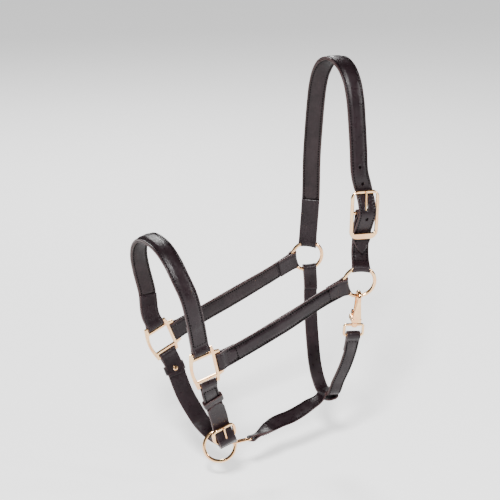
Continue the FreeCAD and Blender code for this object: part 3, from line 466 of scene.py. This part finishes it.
def strap_mesh(name, path, shape, material, body, bends=(), wobble=0.1, wrinkle=0.0,
               narrow=None, fade=None, seed=0):
    """Sweep a section along a path.

    shape is the section's arguments. bends are functions that move a vertex to follow a curved
    ring. narrow gives the width's share at a length along the strap, fade the padding's share.
    """
    width, half_thick, top_pad, low_pad, groove, low_groove = shape
    points, shades = [], []
    rounds = len(path.run)
    for index in range(rounds):
        run = path.run[index]
        centre, side, out = (Vector(table[index]) for table in (path.centre, path.side, path.out))
        share = narrow(run) if narrow else 1.0
        full = fade(run) if fade else 1.0
        for across, height, shade in section(width, half_thick, top_pad * full,
                                             low_pad * full, groove, low_groove):
            across *= max(share, 0.04)
            place = Vector((across * 0.03, run * 0.02, seed * 3.1))
            lift = noise.noise(place) * wobble
            if wrinkle and height < 0:
                crease = noise.noise(Vector((across * 0.035, run * 0.42, seed + 9)))
                crease += 0.5 * noise.noise(Vector((across * 0.09, run * 0.95, seed + 4)))
                inside = step_up(width / 2 - abs(across), 1.0, 4.5)
                lift -= wrinkle * crease * inside
            point = centre + (side * across + out * (height + lift)) * MM
            for bend in bends:
                point = bend(point, run, across)
            points.append(point)
            shades.append(shade)
    count = len(points) // rounds
    faces = [(a * count + b, a * count + (b + 1) % count, (a + 1) * count + (b + 1) % count,
              (a + 1) * count + b) for a in range(rounds - 1) for b in range(count)]
    half = count // 2
    for base, flip in ((0, False), ((rounds - 1) * count, True)):
        for b in range(half - 1):
            quad = (base + b, base + count - 1 - b, base + count - 2 - b, base + b + 1)
            faces.append(quad[::-1] if flip else quad)
    return make_object(name, points, faces, [material], body, shades)


# ------------------------------------------------------------------ loops at the strap ends
class Loop:
    """The end of a strap: it wraps a wire or bar and comes back behind itself, stitched down."""

    def __init__(self, centre, along, side, out, wire, curve=None, tail=26.0, turn=TURN_T):
        self.centre, self.along = Vector(centre), Vector(along).normalized()
        self.side = (side - self.along * side.dot(self.along)).normalized()
        self.out = out
        self.radius = wire + FIT + turn / 2
        self.curve, self.tail, self.turn = curve, tail, turn

    def stations(self, plain, at_start):
        """From the strap's face, over the wire and back along the strap: (centre, side) each."""
        a, n = self.along, self.out
        behind = (OUTER_T + self.turn) / 2 + 0.12
        spots = [(-6.2, self.radius * 0.38), (-3, self.radius * 0.86)]
        for degrees in range(80, -100, -20):
            turn = math.radians(degrees)
            spots.append((self.radius * math.cos(turn), self.radius * math.sin(turn)))
        spots.append((-3.6, -self.radius * 0.84))
        found = [(self.centre + (a * x + n * y) * MM, self.side) for x, y in spots]
        for run in (8, 12, 12 + (self.tail - 12) * 0.33, 12 + (self.tail - 12) * 0.67, self.tail):
            place = run if at_start else plain.length - run
            found.append((plain.at(place, 0, -behind), plain.frame_at(place)[1]))
        return found

    def bend(self, point, run, across):
        """Carry the strap's edges round the curve of a ring."""
        if self.curve is None:
            return point
        back = -(point - self.centre).dot(self.along) / MM
        weight = 1 - step_up(back, 5, 24)
        if weight <= 0 or (point - self.centre).length > 40 * MM:
            return point
        drop = self.curve - math.sqrt(max(self.curve**2 - across**2, 0))
        return point + self.along * (drop * 0.45 + 1.2) * weight * MM


def looped_path(points, sides, first=None, last=None):
    """The path of an outer strap: its own points, with a wrap at either end."""
    plain = Path(smooth(points, sides))
    points, sides = list(points), list(sides)
    if first:
        head = first.stations(plain, True)[::-1]
        points = [point for point, _side in head] + points[1:]
        sides = [side for _point, side in head] + sides[1:]
    if last:
        tail = last.stations(plain, False)
        points = points[:-1] + [point for point, _side in tail]
        sides = sides[:-1] + [side for _point, side in tail]
    return Path(smooth(points, sides))


# ------------------------------------------------------------------ stitching
def capsule_rounds(start, end, up, thick):
    """Rings of points for one stitch: a short thread that dips into the leather at both ends."""
    way = (end - start).normalized()
    side = way.cross(up).normalized()
    rounds = []
    for share, swell, dip in ((0.0, 0.35, -0.9), (0.16, 0.95, -0.1), (0.5, 1.0, 0.16),
                              (0.84, 0.95, -0.1), (1.0, 0.35, -0.9)):
        centre = start.lerp(end, share) + up * dip * thick * MM
        rounds.append([centre + (side * math.cos(turn) + up * math.sin(turn) * 0.8)
                       * thick * swell * MM for turn in (k * math.pi / 3 for k in range(6))])
    return rounds


def stitch_object(name, stitches, body, thick=0.9):
    """All of one strap's stitches: (start, end, up) each, in one mesh."""
    points, faces = [], []
    for start, end, up in stitches:
        base = len(points)
        rounds = capsule_rounds(start, end, up, thick)
        for ring in rounds:
            points += ring
        for a in range(4):
            for b in range(6):
                faces.append((base + a * 6 + b, base + a * 6 + (b + 1) % 6,
                              base + (a + 1) * 6 + (b + 1) % 6, base + (a + 1) * 6 + b))
        faces.append(tuple(base + b for b in range(5, -1, -1)))
        faces.append(tuple(base + 24 + b for b in range(6)))
    return make_object(name, points, faces, [THREAD], body)


STITCH_PITCH, STITCH_LONG = 3.7, 2.7


def row_stitches(path, begin, finish, width, height, bends=(), inset=STITCH_IN, face=1,
                 narrow=None):
    """Two rows of stitches along a strap's face."""
    found = []
    count = max(1, round((finish - begin) / STITCH_PITCH))
    for hand in (-1, 1):
        for index in range(count):
            run = begin + (index + 0.5) * (finish - begin) / count
            share = narrow(run) if narrow else 1.0
            if share < 0.75:
                continue
            across = hand * (width * share / 2 - inset)
            ends = []
            for shift, slant in ((-0.5, -0.16), (0.5, 0.16)):
                place = run + shift * STITCH_LONG
                point = path.at(place, across + slant, face * height)
                for bend in bends:
                    point = bend(point, place, across)
                ends.append(point)
            found.append((ends[0], ends[1], path.frame_at(run)[2] * face))
    return found


def cross_stitches(path, run, width, height, bends=(), face=1):
    """One row of stitches across a strap."""
    reach = width - 2 * STITCH_IN
    count = max(2, round(reach / STITCH_PITCH))
    found = []
    for index in range(count):
        middle_across = -reach / 2 + (index + 0.5) * reach / count
        ends = []
        for shift in (-0.5, 0.5):
            across = middle_across + shift * STITCH_LONG
            point = path.at(run, across, face * height)
            for bend in bends:
                point = bend(point, run, across)
            ends.append(point)
        found.append((ends[0], ends[1], path.frame_at(run)[2] * face))
    return found


# ------------------------------------------------------------------ the padded straps
PADDED_SHAPE = (STRAP_W, OUTER_T / 2, 1.3, 0.0, 0.42, 0.0)
LINING_SHAPE = (STRAP_W - 0.7, LINING_T / 2, 0.0, 0.55, 0.0, 0.32)


def padded_strap(name, points, sides, first, last, nodes, body="straps", wrinkle=0.1,
                 reach=None, seed=0):
    """A padded strap: outer leather with its end loops, lining, and stitching on both faces."""
    outer_path = looped_path(points, sides, first, last)
    plain = Path(smooth(points, sides))
    bends = [loop.bend for loop in (first, last) if loop]
    begin, finish = reach or (first.tail if first else 0, plain.length - (last.tail if last else 0))

    start_run = outer_path.run_near(plain.at(begin, 0, 0))
    end_run = outer_path.run_near(plain.at(finish, 0, 0))

    def fade(run):
        return step_up(run, start_run - 14, start_run - 4) * (
            1 - step_up(run, end_run + 4, end_run + 14))

    outer = strap_mesh(name + "_strap_leather", outer_path, PADDED_SHAPE, LEATHER, body,
                       bends, fade=fade, seed=seed)
    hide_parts(nodes[0])

    inside = []
    drop = OUTER_T / 2 + LINING_T / 2 + 0.04
    for index, run in enumerate(plain.run):
        if begin + 0.5 <= run <= finish - 0.5:
            centre, side, out = (Vector(table[index])
                                 for table in (plain.centre, plain.side, plain.out))
            inside.append((centre - out * drop * MM, side, out))
    lining = strap_mesh(name + "_lining_leather", Path(inside), LINING_SHAPE, LINING, body,
                        wrinkle=wrinkle, seed=seed + 5)
    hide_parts(nodes[1])

    top = OUTER_T / 2 - 0.36
    low = OUTER_T / 2 + LINING_T - 0.26
    margin_first = 11.5 if first else 4
    margin_last = 11.5 if last else 4
    stitches = row_stitches(plain, margin_first, plain.length - margin_last, STRAP_W, top, bends)
    stitches += row_stitches(plain, begin + 2, finish - 2, STRAP_W, low, bends, face=-1)
    for loop, near_end, seam in ((first, margin_first, begin), (last, None, finish)):
        if loop:
            run = margin_first if near_end else plain.length - margin_last
            stitches += cross_stitches(plain, run, STRAP_W, top, bends)
            stitches += cross_stitches(plain, seam, STRAP_W, top + 0.2, bends)
    thread = stitch_object(name + "_stitching", stitches, body)
    return outer, plain


def cheek(side, name):
    bar = square_bar(side, 1, 0)
    rim = ring_rim(side, bar)
    along = (rim - bar).normalized()
    ring_side = RING[side].up
    ring_side = (ring_side - along * ring_side.dot(along)).normalized()
    square_side = SQUARE[side].up
    points = [bar, bar + SQUARE[side].across * 14 * MM,
              (bar + rim) * 0.5 + Vector((0, side * 1.5, -1.5)) * MM, rim - along * 16 * MM, rim]
    sides = [square_side, square_side, (square_side + ring_side) * 0.5, ring_side, ring_side]
    bar_way, rim_way = -SQUARE[side].across, along
    if side == FAR:
        points, sides = points[::-1], sides[::-1]
    square_out = (SQUARE[side].across.cross(square_side)) * (1 if side == NEAR else -1)
    ring_out = along.cross(ring_side) * (1 if side == NEAR else -1)
    at_square = Loop(bar, bar_way, square_side, square_out, SQUARE_BAR / 2)
    at_ring = Loop(rim, rim_way, ring_side, ring_out, RING_WIRE, RING_R)
    first, last = (at_square, at_ring) if side == NEAR else (at_ring, at_square)
    return padded_strap(name, points, sides, first, last, (name + "_strap", name + "_lining"),
                        seed=11 + side)


cheek(NEAR, "near_cheek")
cheek(FAR, "far_cheek")


def nose_points():
    """From the far square over the nose to the near square."""
    front, top, gap = -277, -213, 62
    rows = {}
    for side in (NEAR, FAR):
        foot = square_bar(side, 0, 1)
        leave = foot + (SQUARE[side].up * 13 + Vector((0, side * 2, 0))) * MM
        leg = Vector((front + 25, side * gap * 1.12, top - 97)) * MM
        rows[side] = [foot, leave, leg]
        rows[side] += [Vector((front + x * 1.5, side * gap * y, top + z * 1.2)) * MM
                       for y, x, z in ((1.1, 10.5, -50), (0.97, 6, -32), (0.76, 3, -16),
                                       (0.45, 1, -4.5))]
    points = rows[FAR] + [Vector((front, 0, top)) * MM] + rows[NEAR][::-1]
    tilt = Vector((0.97, 0, 0.24))
    sides = [SQUARE[FAR].across] * 2 + [tilt] * 11 + [SQUARE[NEAR].across] * 2
    return points, sides


def nose():
    points, sides = nose_points()
    loops = [Loop(square_bar(side, 0, 1), -SQUARE[side].up, SQUARE[side].across,
                  SQUARE[side].inward * side, SQUARE_BAR / 2, tail=46) for side in (FAR, NEAR)]
    padded_strap("nose", points, sides, loops[0], loops[1], ("nose_strap", "nose_lining"),
                 wrinkle=0.07, seed=21)


nose()


# ------------------------------------------------------------------ crown strap
BUCKLE_TOP, BUCKLE_LOW = 31.7, -29.7
BUCKLE_BEHIND, BUCKLE_OVER = 5.4, 7.0
CROWN_SPREAD = 58


def crown_points():
    """From the far ring over the poll, through the crown buckle to the tail's tip."""
    back = RING[FAR].origin.x / MM + 1.6
    drop = -BUCKLE.origin.z / MM
    rim = ring_rim(FAR, Vector((back, RING[FAR].origin.y / MM, 0)) * MM)
    shape = [(1.06, 1.049), (1.03, 0.732), (0.96, 0.527), (0.89, 0.371), (0.8, 0.234),
             (0.66, 0.132), (0.42, 0.054), (0.0, 0.012), (-0.42, 0.054), (-0.66, 0.132),
             (-0.8, 0.234), (-0.9, 0.39), (-0.98, 0.561), (-1.06, 0.732)]
    points = [rim] + [Vector((back, y * CROWN_SPREAD, -z * drop)) * MM for y, z in shape]
    turns = [-38, -38, -38, -37, -35, -32, -28, -24, -20, -16, -12, -10, -8, -8, -8]
    sides = [Matrix.Rotation(math.radians(turn), 3, "Z") @ AXIS_X for turn in turns]
    through = [(0, BUCKLE_BEHIND, BUCKLE_TOP), (1.5, -BUCKLE_BEHIND * 0.6, BUCKLE_TOP - 17),
               (1.5, -BUCKLE_OVER, BUCKLE_BAR_Z), (0.5, -BUCKLE_BEHIND * 0.3, BUCKLE_LOW + 17),
               (0, BUCKLE_BEHIND, BUCKLE_LOW), (0, BUCKLE_BEHIND - 0.7, BUCKLE_LOW - 12),
               (0, BUCKLE_BEHIND - 2.4, BUCKLE_LOW - 26)]
    points += [BUCKLE.at(*place) for place in through]
    sides += [BUCKLE.across] * len(through)
    return points, sides


def oval_cutter(place, across, along, width, length, depth=9.0):
    """A closed oval prism for punching a hole through a strap."""
    out = across.cross(along).normalized()
    ring = []
    for step in range(24):
        turn = step * math.tau / 24
        x, z = math.cos(turn) * width / 2, math.sin(turn) * width / 2
        z += math.copysign((length - width) / 2, z)
        ring.append((x, z))
    points = [place + (across * x + along * z + out * y) * MM
              for y in (-depth / 2, depth / 2) for x, z in ring]
    count = len(ring)
    faces = [(b, (b + 1) % count, count + (b + 1) % count, count + b) for b in range(count)]
    faces += [tuple(range(count - 1, -1, -1)), tuple(range(count, 2 * count))]
    mesh = bpy.data.meshes.new("punch")
    mesh.from_pydata([tuple(point) for point in points], [], faces)
    item = bpy.data.objects.new("punch", mesh)
    bpy.context.scene.collection.objects.link(item)
    return item


def punch(item, holes):
    """Cut oval holes: (place, across, along, width, length) each."""
    for place, across, along, width, length in holes:
        cutter = oval_cutter(place, across, along, width, length)
        modifier = item.modifiers.new("hole", "BOOLEAN")
        modifier.object = cutter
        modifier.solver = "EXACT"
        depsgraph = bpy.context.evaluated_depsgraph_get()
        mesh = bpy.data.meshes.new_from_object(item.evaluated_get(depsgraph))
        item.modifiers.remove(modifier)
        item.data = mesh
        bpy.data.objects.remove(cutter)


def pointed(length, reach, fullness):
    """A width share that runs out to a point over the last part of a strap."""
    def share(run):
        left = max((length - run) / reach, 0)
        return 1.0 if left >= 1 else (1 - (1 - left) ** fullness) ** (1 / fullness)
    return share


def crown():
    points, sides = crown_points()
    rim = points[0]
    along = rim - points[1]
    out = along.normalized().cross(sides[0])
    loop = Loop(rim, along, sides[0], -out, RING_WIRE, RING_R, tail=64)
    plain = Path(smooth(points, sides))
    outer_path = looped_path(points, sides, loop)
    shift = outer_path.length - plain.length
    near_end = plain.run_near(BUCKLE.at(0, BUCKLE_BEHIND, BUCKLE_TOP + 8))
    pad_start = loop.tail + shift

    def fade(run):
        return step_up(run, pad_start - 14, pad_start - 4) * (
            1 - step_up(run, near_end + shift - 12, near_end + shift + 4))

    outer = strap_mesh("crown_strap_leather", outer_path, PADDED_SHAPE, LEATHER, "straps",
                       [loop.bend], fade=fade, narrow=pointed(outer_path.length, 19, 1.25), seed=31)
    up = BUCKLE.up
    holes = [(BUCKLE.at(0.6, -3.5, 12), BUCKLE.across, up, 4.2, 11)]
    worn = plain.run_near(BUCKLE.at(0, BUCKLE_BEHIND, 16.7))
    spots = [plain.at(worn - 24.6, 0, 0), plain.at(worn - 49.2, 0, 0)]
    for spot in spots:
        centre, side, _out = plain.frame_at(plain.run_near(spot))
        holes.append((centre, side, side.cross(_out), 4.0, 5.2))
    low_run = plain.run_near(BUCKLE.at(0, -BUCKLE_OVER, -7))
    centre, side, _out = plain.frame_at(low_run)
    holes.append((centre, side, side.cross(_out), 4.0, 5.2))
    punch(outer, holes)
    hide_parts("crown_strap")

    begin, finish = loop.tail + 0.4, plain.run_near(Vector((0, -CROWN_SPREAD, -170)) * MM)
    drop = OUTER_T / 2 + LINING_T / 2 + 0.04
    inside = []
    for index, run in enumerate(plain.run):
        if begin <= run <= finish:
            centre, side, out = (Vector(table[index])
                                 for table in (plain.centre, plain.side, plain.out))
            inside.append((centre - out * drop * MM, side, out))
    lining = strap_mesh("crown_lining_leather", Path(inside), LINING_SHAPE, LINING, "straps",
                        wrinkle=0.32, seed=37)
    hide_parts("crown_lining")

    top, low = OUTER_T / 2 - 0.36, OUTER_T / 2 + LINING_T - 0.26
    stitches = row_stitches(plain, 12, near_end + 2, STRAP_W, top, [loop.bend])
    stitches += row_stitches(plain, near_end + 6, plain.length - 8, STRAP_W, top,
                             narrow=pointed(plain.length, 19, 1.25))
    stitches += row_stitches(plain, begin + 2, finish - 2, STRAP_W, low, face=-1)
    stitches += cross_stitches(plain, 12, STRAP_W, top, [loop.bend])
    stitches += cross_stitches(plain, begin + 2.5, STRAP_W, low, face=-1)
    stitch_object("crown_stitching", stitches, "straps")


crown()


# ------------------------------------------------------------------ plain single straps
def plain_shape(width, thick):
    return (width, thick / 2, 0.12, 0.1, 0.1, 0.06)


def doubled(name, points, sides, thick, width, ends, body="straps", seed=0, ring_end=False,
            stitch_from=0.0, seam=0.0):
    """A doubled strap: one length of leather round a wire or bar at each end, sewn to itself."""
    plain = Path(smooth(points, sides))
    count = len(plain.run)
    loops = []
    for index, wire, curve in ((0, ends[0], None), (-1, ends[1], RING_R if ring_end else None)):
        away = plain.centre[1] if index == 0 else plain.centre[-2]
        centre = Vector(plain.centre[index])
        loops.append(Loop(centre, centre - Vector(away), Vector(plain.side[index]),
                          Vector(plain.out[index]), wire, curve, turn=thick))
    start, finish = (loop.radius * 1.7 for loop in loops)
    chosen = [k for k in range(0, count, 2) if start < plain.run[k] < plain.length - finish]

    def layer(sign, order):
        return [(Vector(plain.centre[k]) + Vector(plain.out[k]) * sign * (thick / 2 + 0.04) * MM,
                 Vector(plain.side[k])) for k in order]

    front, rear = layer(1, chosen), layer(-1, chosen[::-1])
    cycle = front + wrap_points(loops[1], 1) + rear + wrap_points(loops[0], -1) + front[:1]
    path = Path(smooth([point for point, _side in cycle], [side for _point, side in cycle], 2.0))
    item = strap_mesh(name + "_leather", path, plain_shape(width, thick), LEATHER, body,
                      [loop.bend for loop in loops], seed=seed)
    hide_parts(name)
    bends = [loop.bend for loop in loops]
    top = thick + 0.02
    run_end = plain.length - 10
    stitches = []
    for face in (1, -1):
        stitches += row_stitches(plain, stitch_from, run_end, width, top, bends, face=face)
        stitches += cross_stitches(plain, run_end, width, top, bends, face)
        if seam:
            stitches += cross_stitches(plain, seam, width, top, bends, face)
    stitch_object(name + "_stitching", stitches, body)
    return plain


def wrap_points(loop, sign):
    """Points round a wire from one layer of a doubled strap to the other."""
    found = []
    for degrees in range(80, -100, -20):
        turn = math.radians(degrees * sign)
        found.append((loop.centre + (loop.along * math.cos(turn) + loop.out * math.sin(turn))
                      * loop.radius * MM, loop.side))
    return found


def chape():
    """The doubled piece between the crown buckle's bar and the near cheek ring."""
    behind = BUCKLE_BEHIND + OUTER_T / 2 + 0.05 + TURN_T
    rim = ring_rim(NEAR, BUCKLE.at(0, behind, BUCKLE_LOW))
    bar = BUCKLE.at(0, 0, BUCKLE_BAR_Z)
    ring_across = RING[NEAR].across
    points = [bar, BUCKLE.at(0, behind * 0.45, BUCKLE_BAR_Z - 10),
              BUCKLE.at(0, behind, BUCKLE_LOW + 6), BUCKLE.at(0, behind, BUCKLE_LOW - 8),
              BUCKLE.at(0, behind + 0.3, BUCKLE_LOW - 25), rim]
    sides = [BUCKLE.across] * 4 + [(BUCKLE.across + ring_across) * 0.5, ring_across]
    doubled("crown_chape", points, sides, TURN_T, STRAP_W - 1, (2.6, RING_WIRE), seed=41,
            ring_end=True, stitch_from=18, seam=34)


chape()


# ------------------------------------------------------------------ chin straps
CHIN_TOP, CHIN_BAR, CHIN_T, CHIN_TURN = 21.7, 2.6, 2.6, 1.6
CHIN_BESIDE, CHIN_DOUBLE = 4.6, 7.85
CHIN_LINE = [(0, 0, 0), (0, 0, 13), (-1.2, -0.7, 29), (-2.6, -2.9, 45)]


def chin_line(inward):
    """The line above the chin buckle, moved inward to one of its two layers."""
    return [CHIN.at(x, y + inward, CHIN_TOP + z) for x, y, z in CHIN_LINE]


def near_chin_strap():
    bar = square_bar(NEAR, 0, -1)
    leave = bar + (SQUARE[NEAR].up * -12 + Vector((0, 1.5, 0))) * MM
    points = [bar, leave] + chin_line(CHIN_DOUBLE)[::-1]
    points += [CHIN.at(0, CHIN_DOUBLE * 0.5, 10), CHIN.at(0, 0, 0)]
    sides = [SQUARE[NEAR].across] * 2 + [CHIN.across] * 6
    return doubled("near_chin_strap", points[::-1], sides[::-1], CHIN_TURN, STRAP_W - 1,
                   (CHIN_BAR, SQUARE_BAR / 2), seed=43, stitch_from=30, seam=46)


def chin_points():
    """From the free end down over the buckle, under the jaw and up to the far square."""
    low = LEAD.origin.z / MM + 9.609
    over = 6.7
    points = chin_line(CHIN_BESIDE)[::-1]
    points += [CHIN.at(0, (CHIN_BESIDE - over) * 0.5, CHIN_TOP * 0.5), CHIN.at(0.5, -over, 1),
               CHIN.at(2, -over * 0.35, -8.5)]
    gap = SQUARE[FAR].origin.y / MM
    points += [Vector((LEAD.origin.x / MM + x, gap * y, low + z)) * MM
               for x, y, z in ((-1, -0.339, 3.5), (1.2, -0.048, 0), (-1.5, 0.226, 2.5),
                               (-9.5, 0.5, 15))]
    bar = square_bar(FAR, 0, -1)
    leave = bar + (SQUARE[FAR].up * -13 + Vector((0, -1.5, 0))) * MM
    turn = points[-1]
    points += [Vector([turn[axis] + (leave[axis] - turn[axis]) * share[axis]
                       for axis in range(3)])
               for share in ((0.281, 0.322, 0.215), (0.577, 0.576, 0.47), (0.827, 0.78, 0.772))]
    points += [leave, bar]
    sides = [CHIN.across] * 7 + [Vector((0.94, -0.05, 0.1))] * 2 + [Vector((0.93, -0.1, 0.1))] * 2
    sides += [Vector((0.92, -0.12, 0.25))] * 3 + [SQUARE[FAR].across] * 2
    return points, sides


def chin_strap():
    """The adjustable strap under the jaw, with a pointed free end held by the chin buckle."""
    points, sides = chin_points()
    bar = points[-1]
    plain = Path(smooth(points, sides))
    loop = Loop(bar, SQUARE[FAR].up, SQUARE[FAR].across, Vector(plain.out[-1]), SQUARE_BAR / 2,
                tail=34, turn=1.6)
    path = looped_path(points, sides, last=loop)

    def share(run):
        return pointed(0, 15, 2.0)(-run)

    item = strap_mesh("chin_strap_leather", path, plain_shape(STRAP_W, CHIN_T), LEATHER, "straps",
                      narrow=share, seed=47)
    up = CHIN.up
    punch(item, [(CHIN.at(0.3, -3.2, 9.5), CHIN.across, up, 4.0, 8.0)])
    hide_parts("chin_strap")
    top = CHIN_T / 2 + 0.03
    length = plain.length
    stitches = cross_stitches(plain, length - 11, STRAP_W, top)
    stitches += cross_stitches(plain, length - 31, STRAP_W, top)
    stitches += row_stitches(plain, length - 31, length - 11, STRAP_W, top)
    stitch_object("chin_strap_stitching", stitches, "straps")
    return plain


def keeper(name, node, path, run, width, depth, body, reach=12.0, thick=1.9):
    """A leather keeper: a band sewn into a ring round the strap, with rounded edges."""
    centre, side, out = path.frame_at(run)
    along = side.cross(out)
    half_x, half_y = width / 2 + thick / 2, depth / 2 + thick / 2
    corner = 1.6
    ring = []
    for sign_x, sign_y, start in ((1, 1, 0), (-1, 1, 90), (-1, -1, 180), (1, -1, 270)):
        for step in range(5):
            turn = math.radians(start + step * 22.5)
            ring.append(((half_x - corner) * sign_x + corner * math.cos(turn),
                         (half_y - corner) * sign_y + corner * math.sin(turn)))
    dense = []
    for index, (x, y) in enumerate(ring):
        nx, ny = ring[(index + 1) % len(ring)]
        gap = math.hypot(nx - x, ny - y)
        parts = max(1, round(gap / 1.5))
        dense += [(x + (nx - x) * k / parts, y + (ny - y) * k / parts) for k in range(parts)]
    profile = [(-0.5, 0.28), (-0.46, 0.46), (-0.4, 0.5), (-0.3, 0.47), (-0.15, 0.52), (0, 0.54),
               (0.15, 0.52), (0.3, 0.47), (0.4, 0.5), (0.46, 0.46), (0.5, 0.28),
               (0.5, -0.4), (0.3, -0.48), (0, -0.5), (-0.3, -0.48), (-0.5, -0.4)]
    points, shades = [], []
    for index, (x, y) in enumerate(dense):
        px, py = dense[index - 1]
        nx, ny = dense[(index + 1) % len(dense)]
        normal = Vector((ny - py, px - nx, 0)).normalized()
        for z, off in profile:
            lift = off * thick + noise.noise(Vector((x * 0.2, y * 0.2, z * 3))) * 0.07
            points.append(centre + (side * (x + normal.x * lift) + out * (y + normal.y * lift)
                                    + along * z * reach) * MM)
            shades.append(math.exp(-((0.5 - abs(z)) * reach / 0.9) ** 2))
    count = len(profile)
    total = len(dense)
    faces = [(a * count + b, ((a + 1) % total) * count + b,
              ((a + 1) % total) * count + (b + 1) % count, a * count + (b + 1) % count)
             for a in range(total) for b in range(count)]
    item = make_object(name, points, faces, [LEATHER], body, shades)
    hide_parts(node)
    return centre, side, out


near_chin = near_chin_strap()
chin = chin_strap()
keeper_run = near_chin.run_near(CHIN.at(-3, 5, CHIN_TOP + 51))
keeper("near_chin_keeper_leather", "near_chin_keeper", near_chin, keeper_run,
       STRAP_W + 2 * FIT, CHIN_TURN * 2 + 5 * FIT, "near_keeper")
far_run = chin.run_near(middle("far_chin_keeper"))
keeper("far_chin_keeper_leather", "far_chin_keeper", chin, far_run, STRAP_W + 0.6, CHIN_T + 1.0,
       "straps")


# ------------------------------------------------------------------ throat and jaw straps
THROAT_W, THROAT_T, JAW_W = 19.0, 3.6, 20.0
EYE_DOWN, EYE_TALL, EYE_WIRE = 2.6, 19.0, 3.6
EYE_TURN = Matrix.Rotation(math.radians(-3), 3, SNAP.inward)
EYE = Place(SNAP.at(0, 0, -EYE_DOWN - EYE_TALL / 2), EYE_TURN @ SNAP.across, EYE_TURN @ SNAP.up)


def throat_points():
    """From the snap's eye down under the throat and up to the far ring."""
    bar = EYE.at(0, 0, (EYE_WIRE - EYE_TALL) / 2)
    back, gap = RING[FAR].origin.x / MM, RING[FAR].origin.y / MM
    rim = ring_rim(FAR, Vector((back + 20, gap - 7.4, RING[FAR].origin.z / MM - 101)) * MM)
    low = -488.0
    points = [bar, bar + (EYE.inward * 1.5 - EYE.up * 12) * MM]
    for end, rows in ((bar, ((1, -0.697, 0.75), (0.5, -0.527, 0.512), (-2, -0.312, 0.247),
                             (-3.5, -0.156, 0.055))),
                      (rim, ((-4, 0.022, 0.0095), (-4.5, 0.2, 0.0208), (-4.5, 0.386, 0.0953),
                             (-3, 0.564, 0.2085), (0, 0.727, 0.3634), (2, 0.846, 0.542),
                             (3, 0.92, 0.7505)))):
        points += [Vector((back + x, gap * y, low + (end.z / MM - low) * z)) * MM
                   for x, y, z in rows]
    points += [rim + Vector((0.6, -1.2, -15)) * MM, rim]
    level = Matrix.Rotation(math.radians(-12), 3, "Z") @ AXIS_X
    return points, [EYE.across] * 2 + [level] * 11 + [RING[FAR].across] * 2


def throat_strap():
    points, sides = throat_points()
    plain = Path(smooth(points, sides))
    at_eye = Loop(points[0], points[0] - points[1], sides[0], Vector(plain.out[0]), 2.4, tail=30)
    at_ring = Loop(points[-1], points[-1] - points[-2], sides[-1], Vector(plain.out[-1]),
                   RING_WIRE, RING_R, tail=30)
    path = looped_path(points, sides, at_eye, at_ring)
    item = strap_mesh("throat_strap_leather", path, plain_shape(THROAT_W, THROAT_T), LEATHER,
                      "straps", [at_ring.bend], seed=53)
    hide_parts("throat_strap")
    top = THROAT_T / 2 + 0.03
    bends = [at_ring.bend]
    stitches = row_stitches(plain, 10, plain.length - 11, THROAT_W, top, bends, inset=2.2)
    for run in (10, plain.length - 11):
        stitches += cross_stitches(plain, run, THROAT_W, top, bends)
    stitch_object("throat_stitching", stitches, "straps")
    return plain


def jaw_strap(throat):
    """From the jaw link back to a loop round the lowest part of the throat strap."""
    link_end = joint_point("jaw_link_swing")
    link_side = joint_axis("jaw_link_swing") * -1
    low_run = throat.run_near(Vector((-2, 1.5, -488)) * MM)
    centre, low_side, low_out = throat.frame_at(low_run)
    around = low_side.cross(low_out)
    room_x, room_y = (THROAT_W + 1.2) / 2 + 0.9, (THROAT_T + 7.0) / 2 + 0.9
    front = centre - low_side * room_x * MM
    leave = link_end + Vector((11, 0, 1.5)) * MM
    points = [link_end, leave]
    points += [Vector([leave[axis] + (front[axis] - leave[axis]) * share[axis]
                       for axis in range(3)])
               for share in ((0.292, 0.722, 0.287), (0.548, 0.84, 0.415), (0.786, 0.95, 0.666))]
    # Round the throat strap: under it, behind it, over it and back to the front.
    corners = [(-0.86, -0.9), (-0.4, -1.06), (0.4, -1.06), (0.94, -0.8), (1.02, 0), (0.94, 0.8),
               (0.4, 1.06), (-0.4, 1.06), (-0.9, 0.78)]
    loop = [centre + (low_side * room_x * x + low_out * room_y * y) * MM for x, y in corners]
    points += [front.lerp(loop[0], 0.3)] + loop
    sides = [link_side] * 2 + [Vector((0.1, -0.72, -0.7))] * 2 + [Vector((0.1, -0.85, -0.5))]
    sides += [around * -1] * (len(loop) + 1)
    plain = Path(smooth(points, sides))
    wrap = Loop(link_end, link_end - leave, link_side, Vector(plain.out[0]), 1.9, tail=32,
                turn=2.0)
    path = looped_path(points, sides, wrap)

    def share(run):
        return 0.72 + 0.28 * step_up(abs(run - wrap_run), 6, 26)

    wrap_run = path.run_near(link_end + (link_end - leave).normalized() * wrap.radius * MM)
    item = strap_mesh("jaw_strap_leather", path, plain_shape(JAW_W, 2.2), LEATHER, "straps",
                      narrow=share, seed=59)
    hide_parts("jaw_strap")
    run_end = plain.run_near(front) - 4
    stitches = []
    for face in (1, -1):
        stitches += row_stitches(plain, 14, run_end, JAW_W, 1.15, inset=2.4, face=face,
                                 narrow=lambda run: 0.72 + 0.28 * step_up(run, 6, 26))
    stitch_object("jaw_stitching", stitches, "straps")


jaw_strap(throat_strap())


# ------------------------------------------------------------------ metal carried over from CAD
def dress(nodes, material):
    for node in nodes:
        item = frame["nodes"][node]
        item.data.materials.clear()
        item.data.materials.append(material)


BRASS_NODES = ["near_cheek_ring", "far_cheek_ring", "near_square", "far_square", "lead_ring",
               "crown_buckle_frame", "crown_buckle_tongue", "chin_buckle_frame",
               "chin_buckle_tongue", "jaw_link", "snap_body", "snap_gate", "snap_gate_pin",
               "snap_swivel_eye", "snap_rivet", "far_chin_stud"]
dress(BRASS_NODES, BRASS)
dress(["snap_gate_spring"], STEEL)
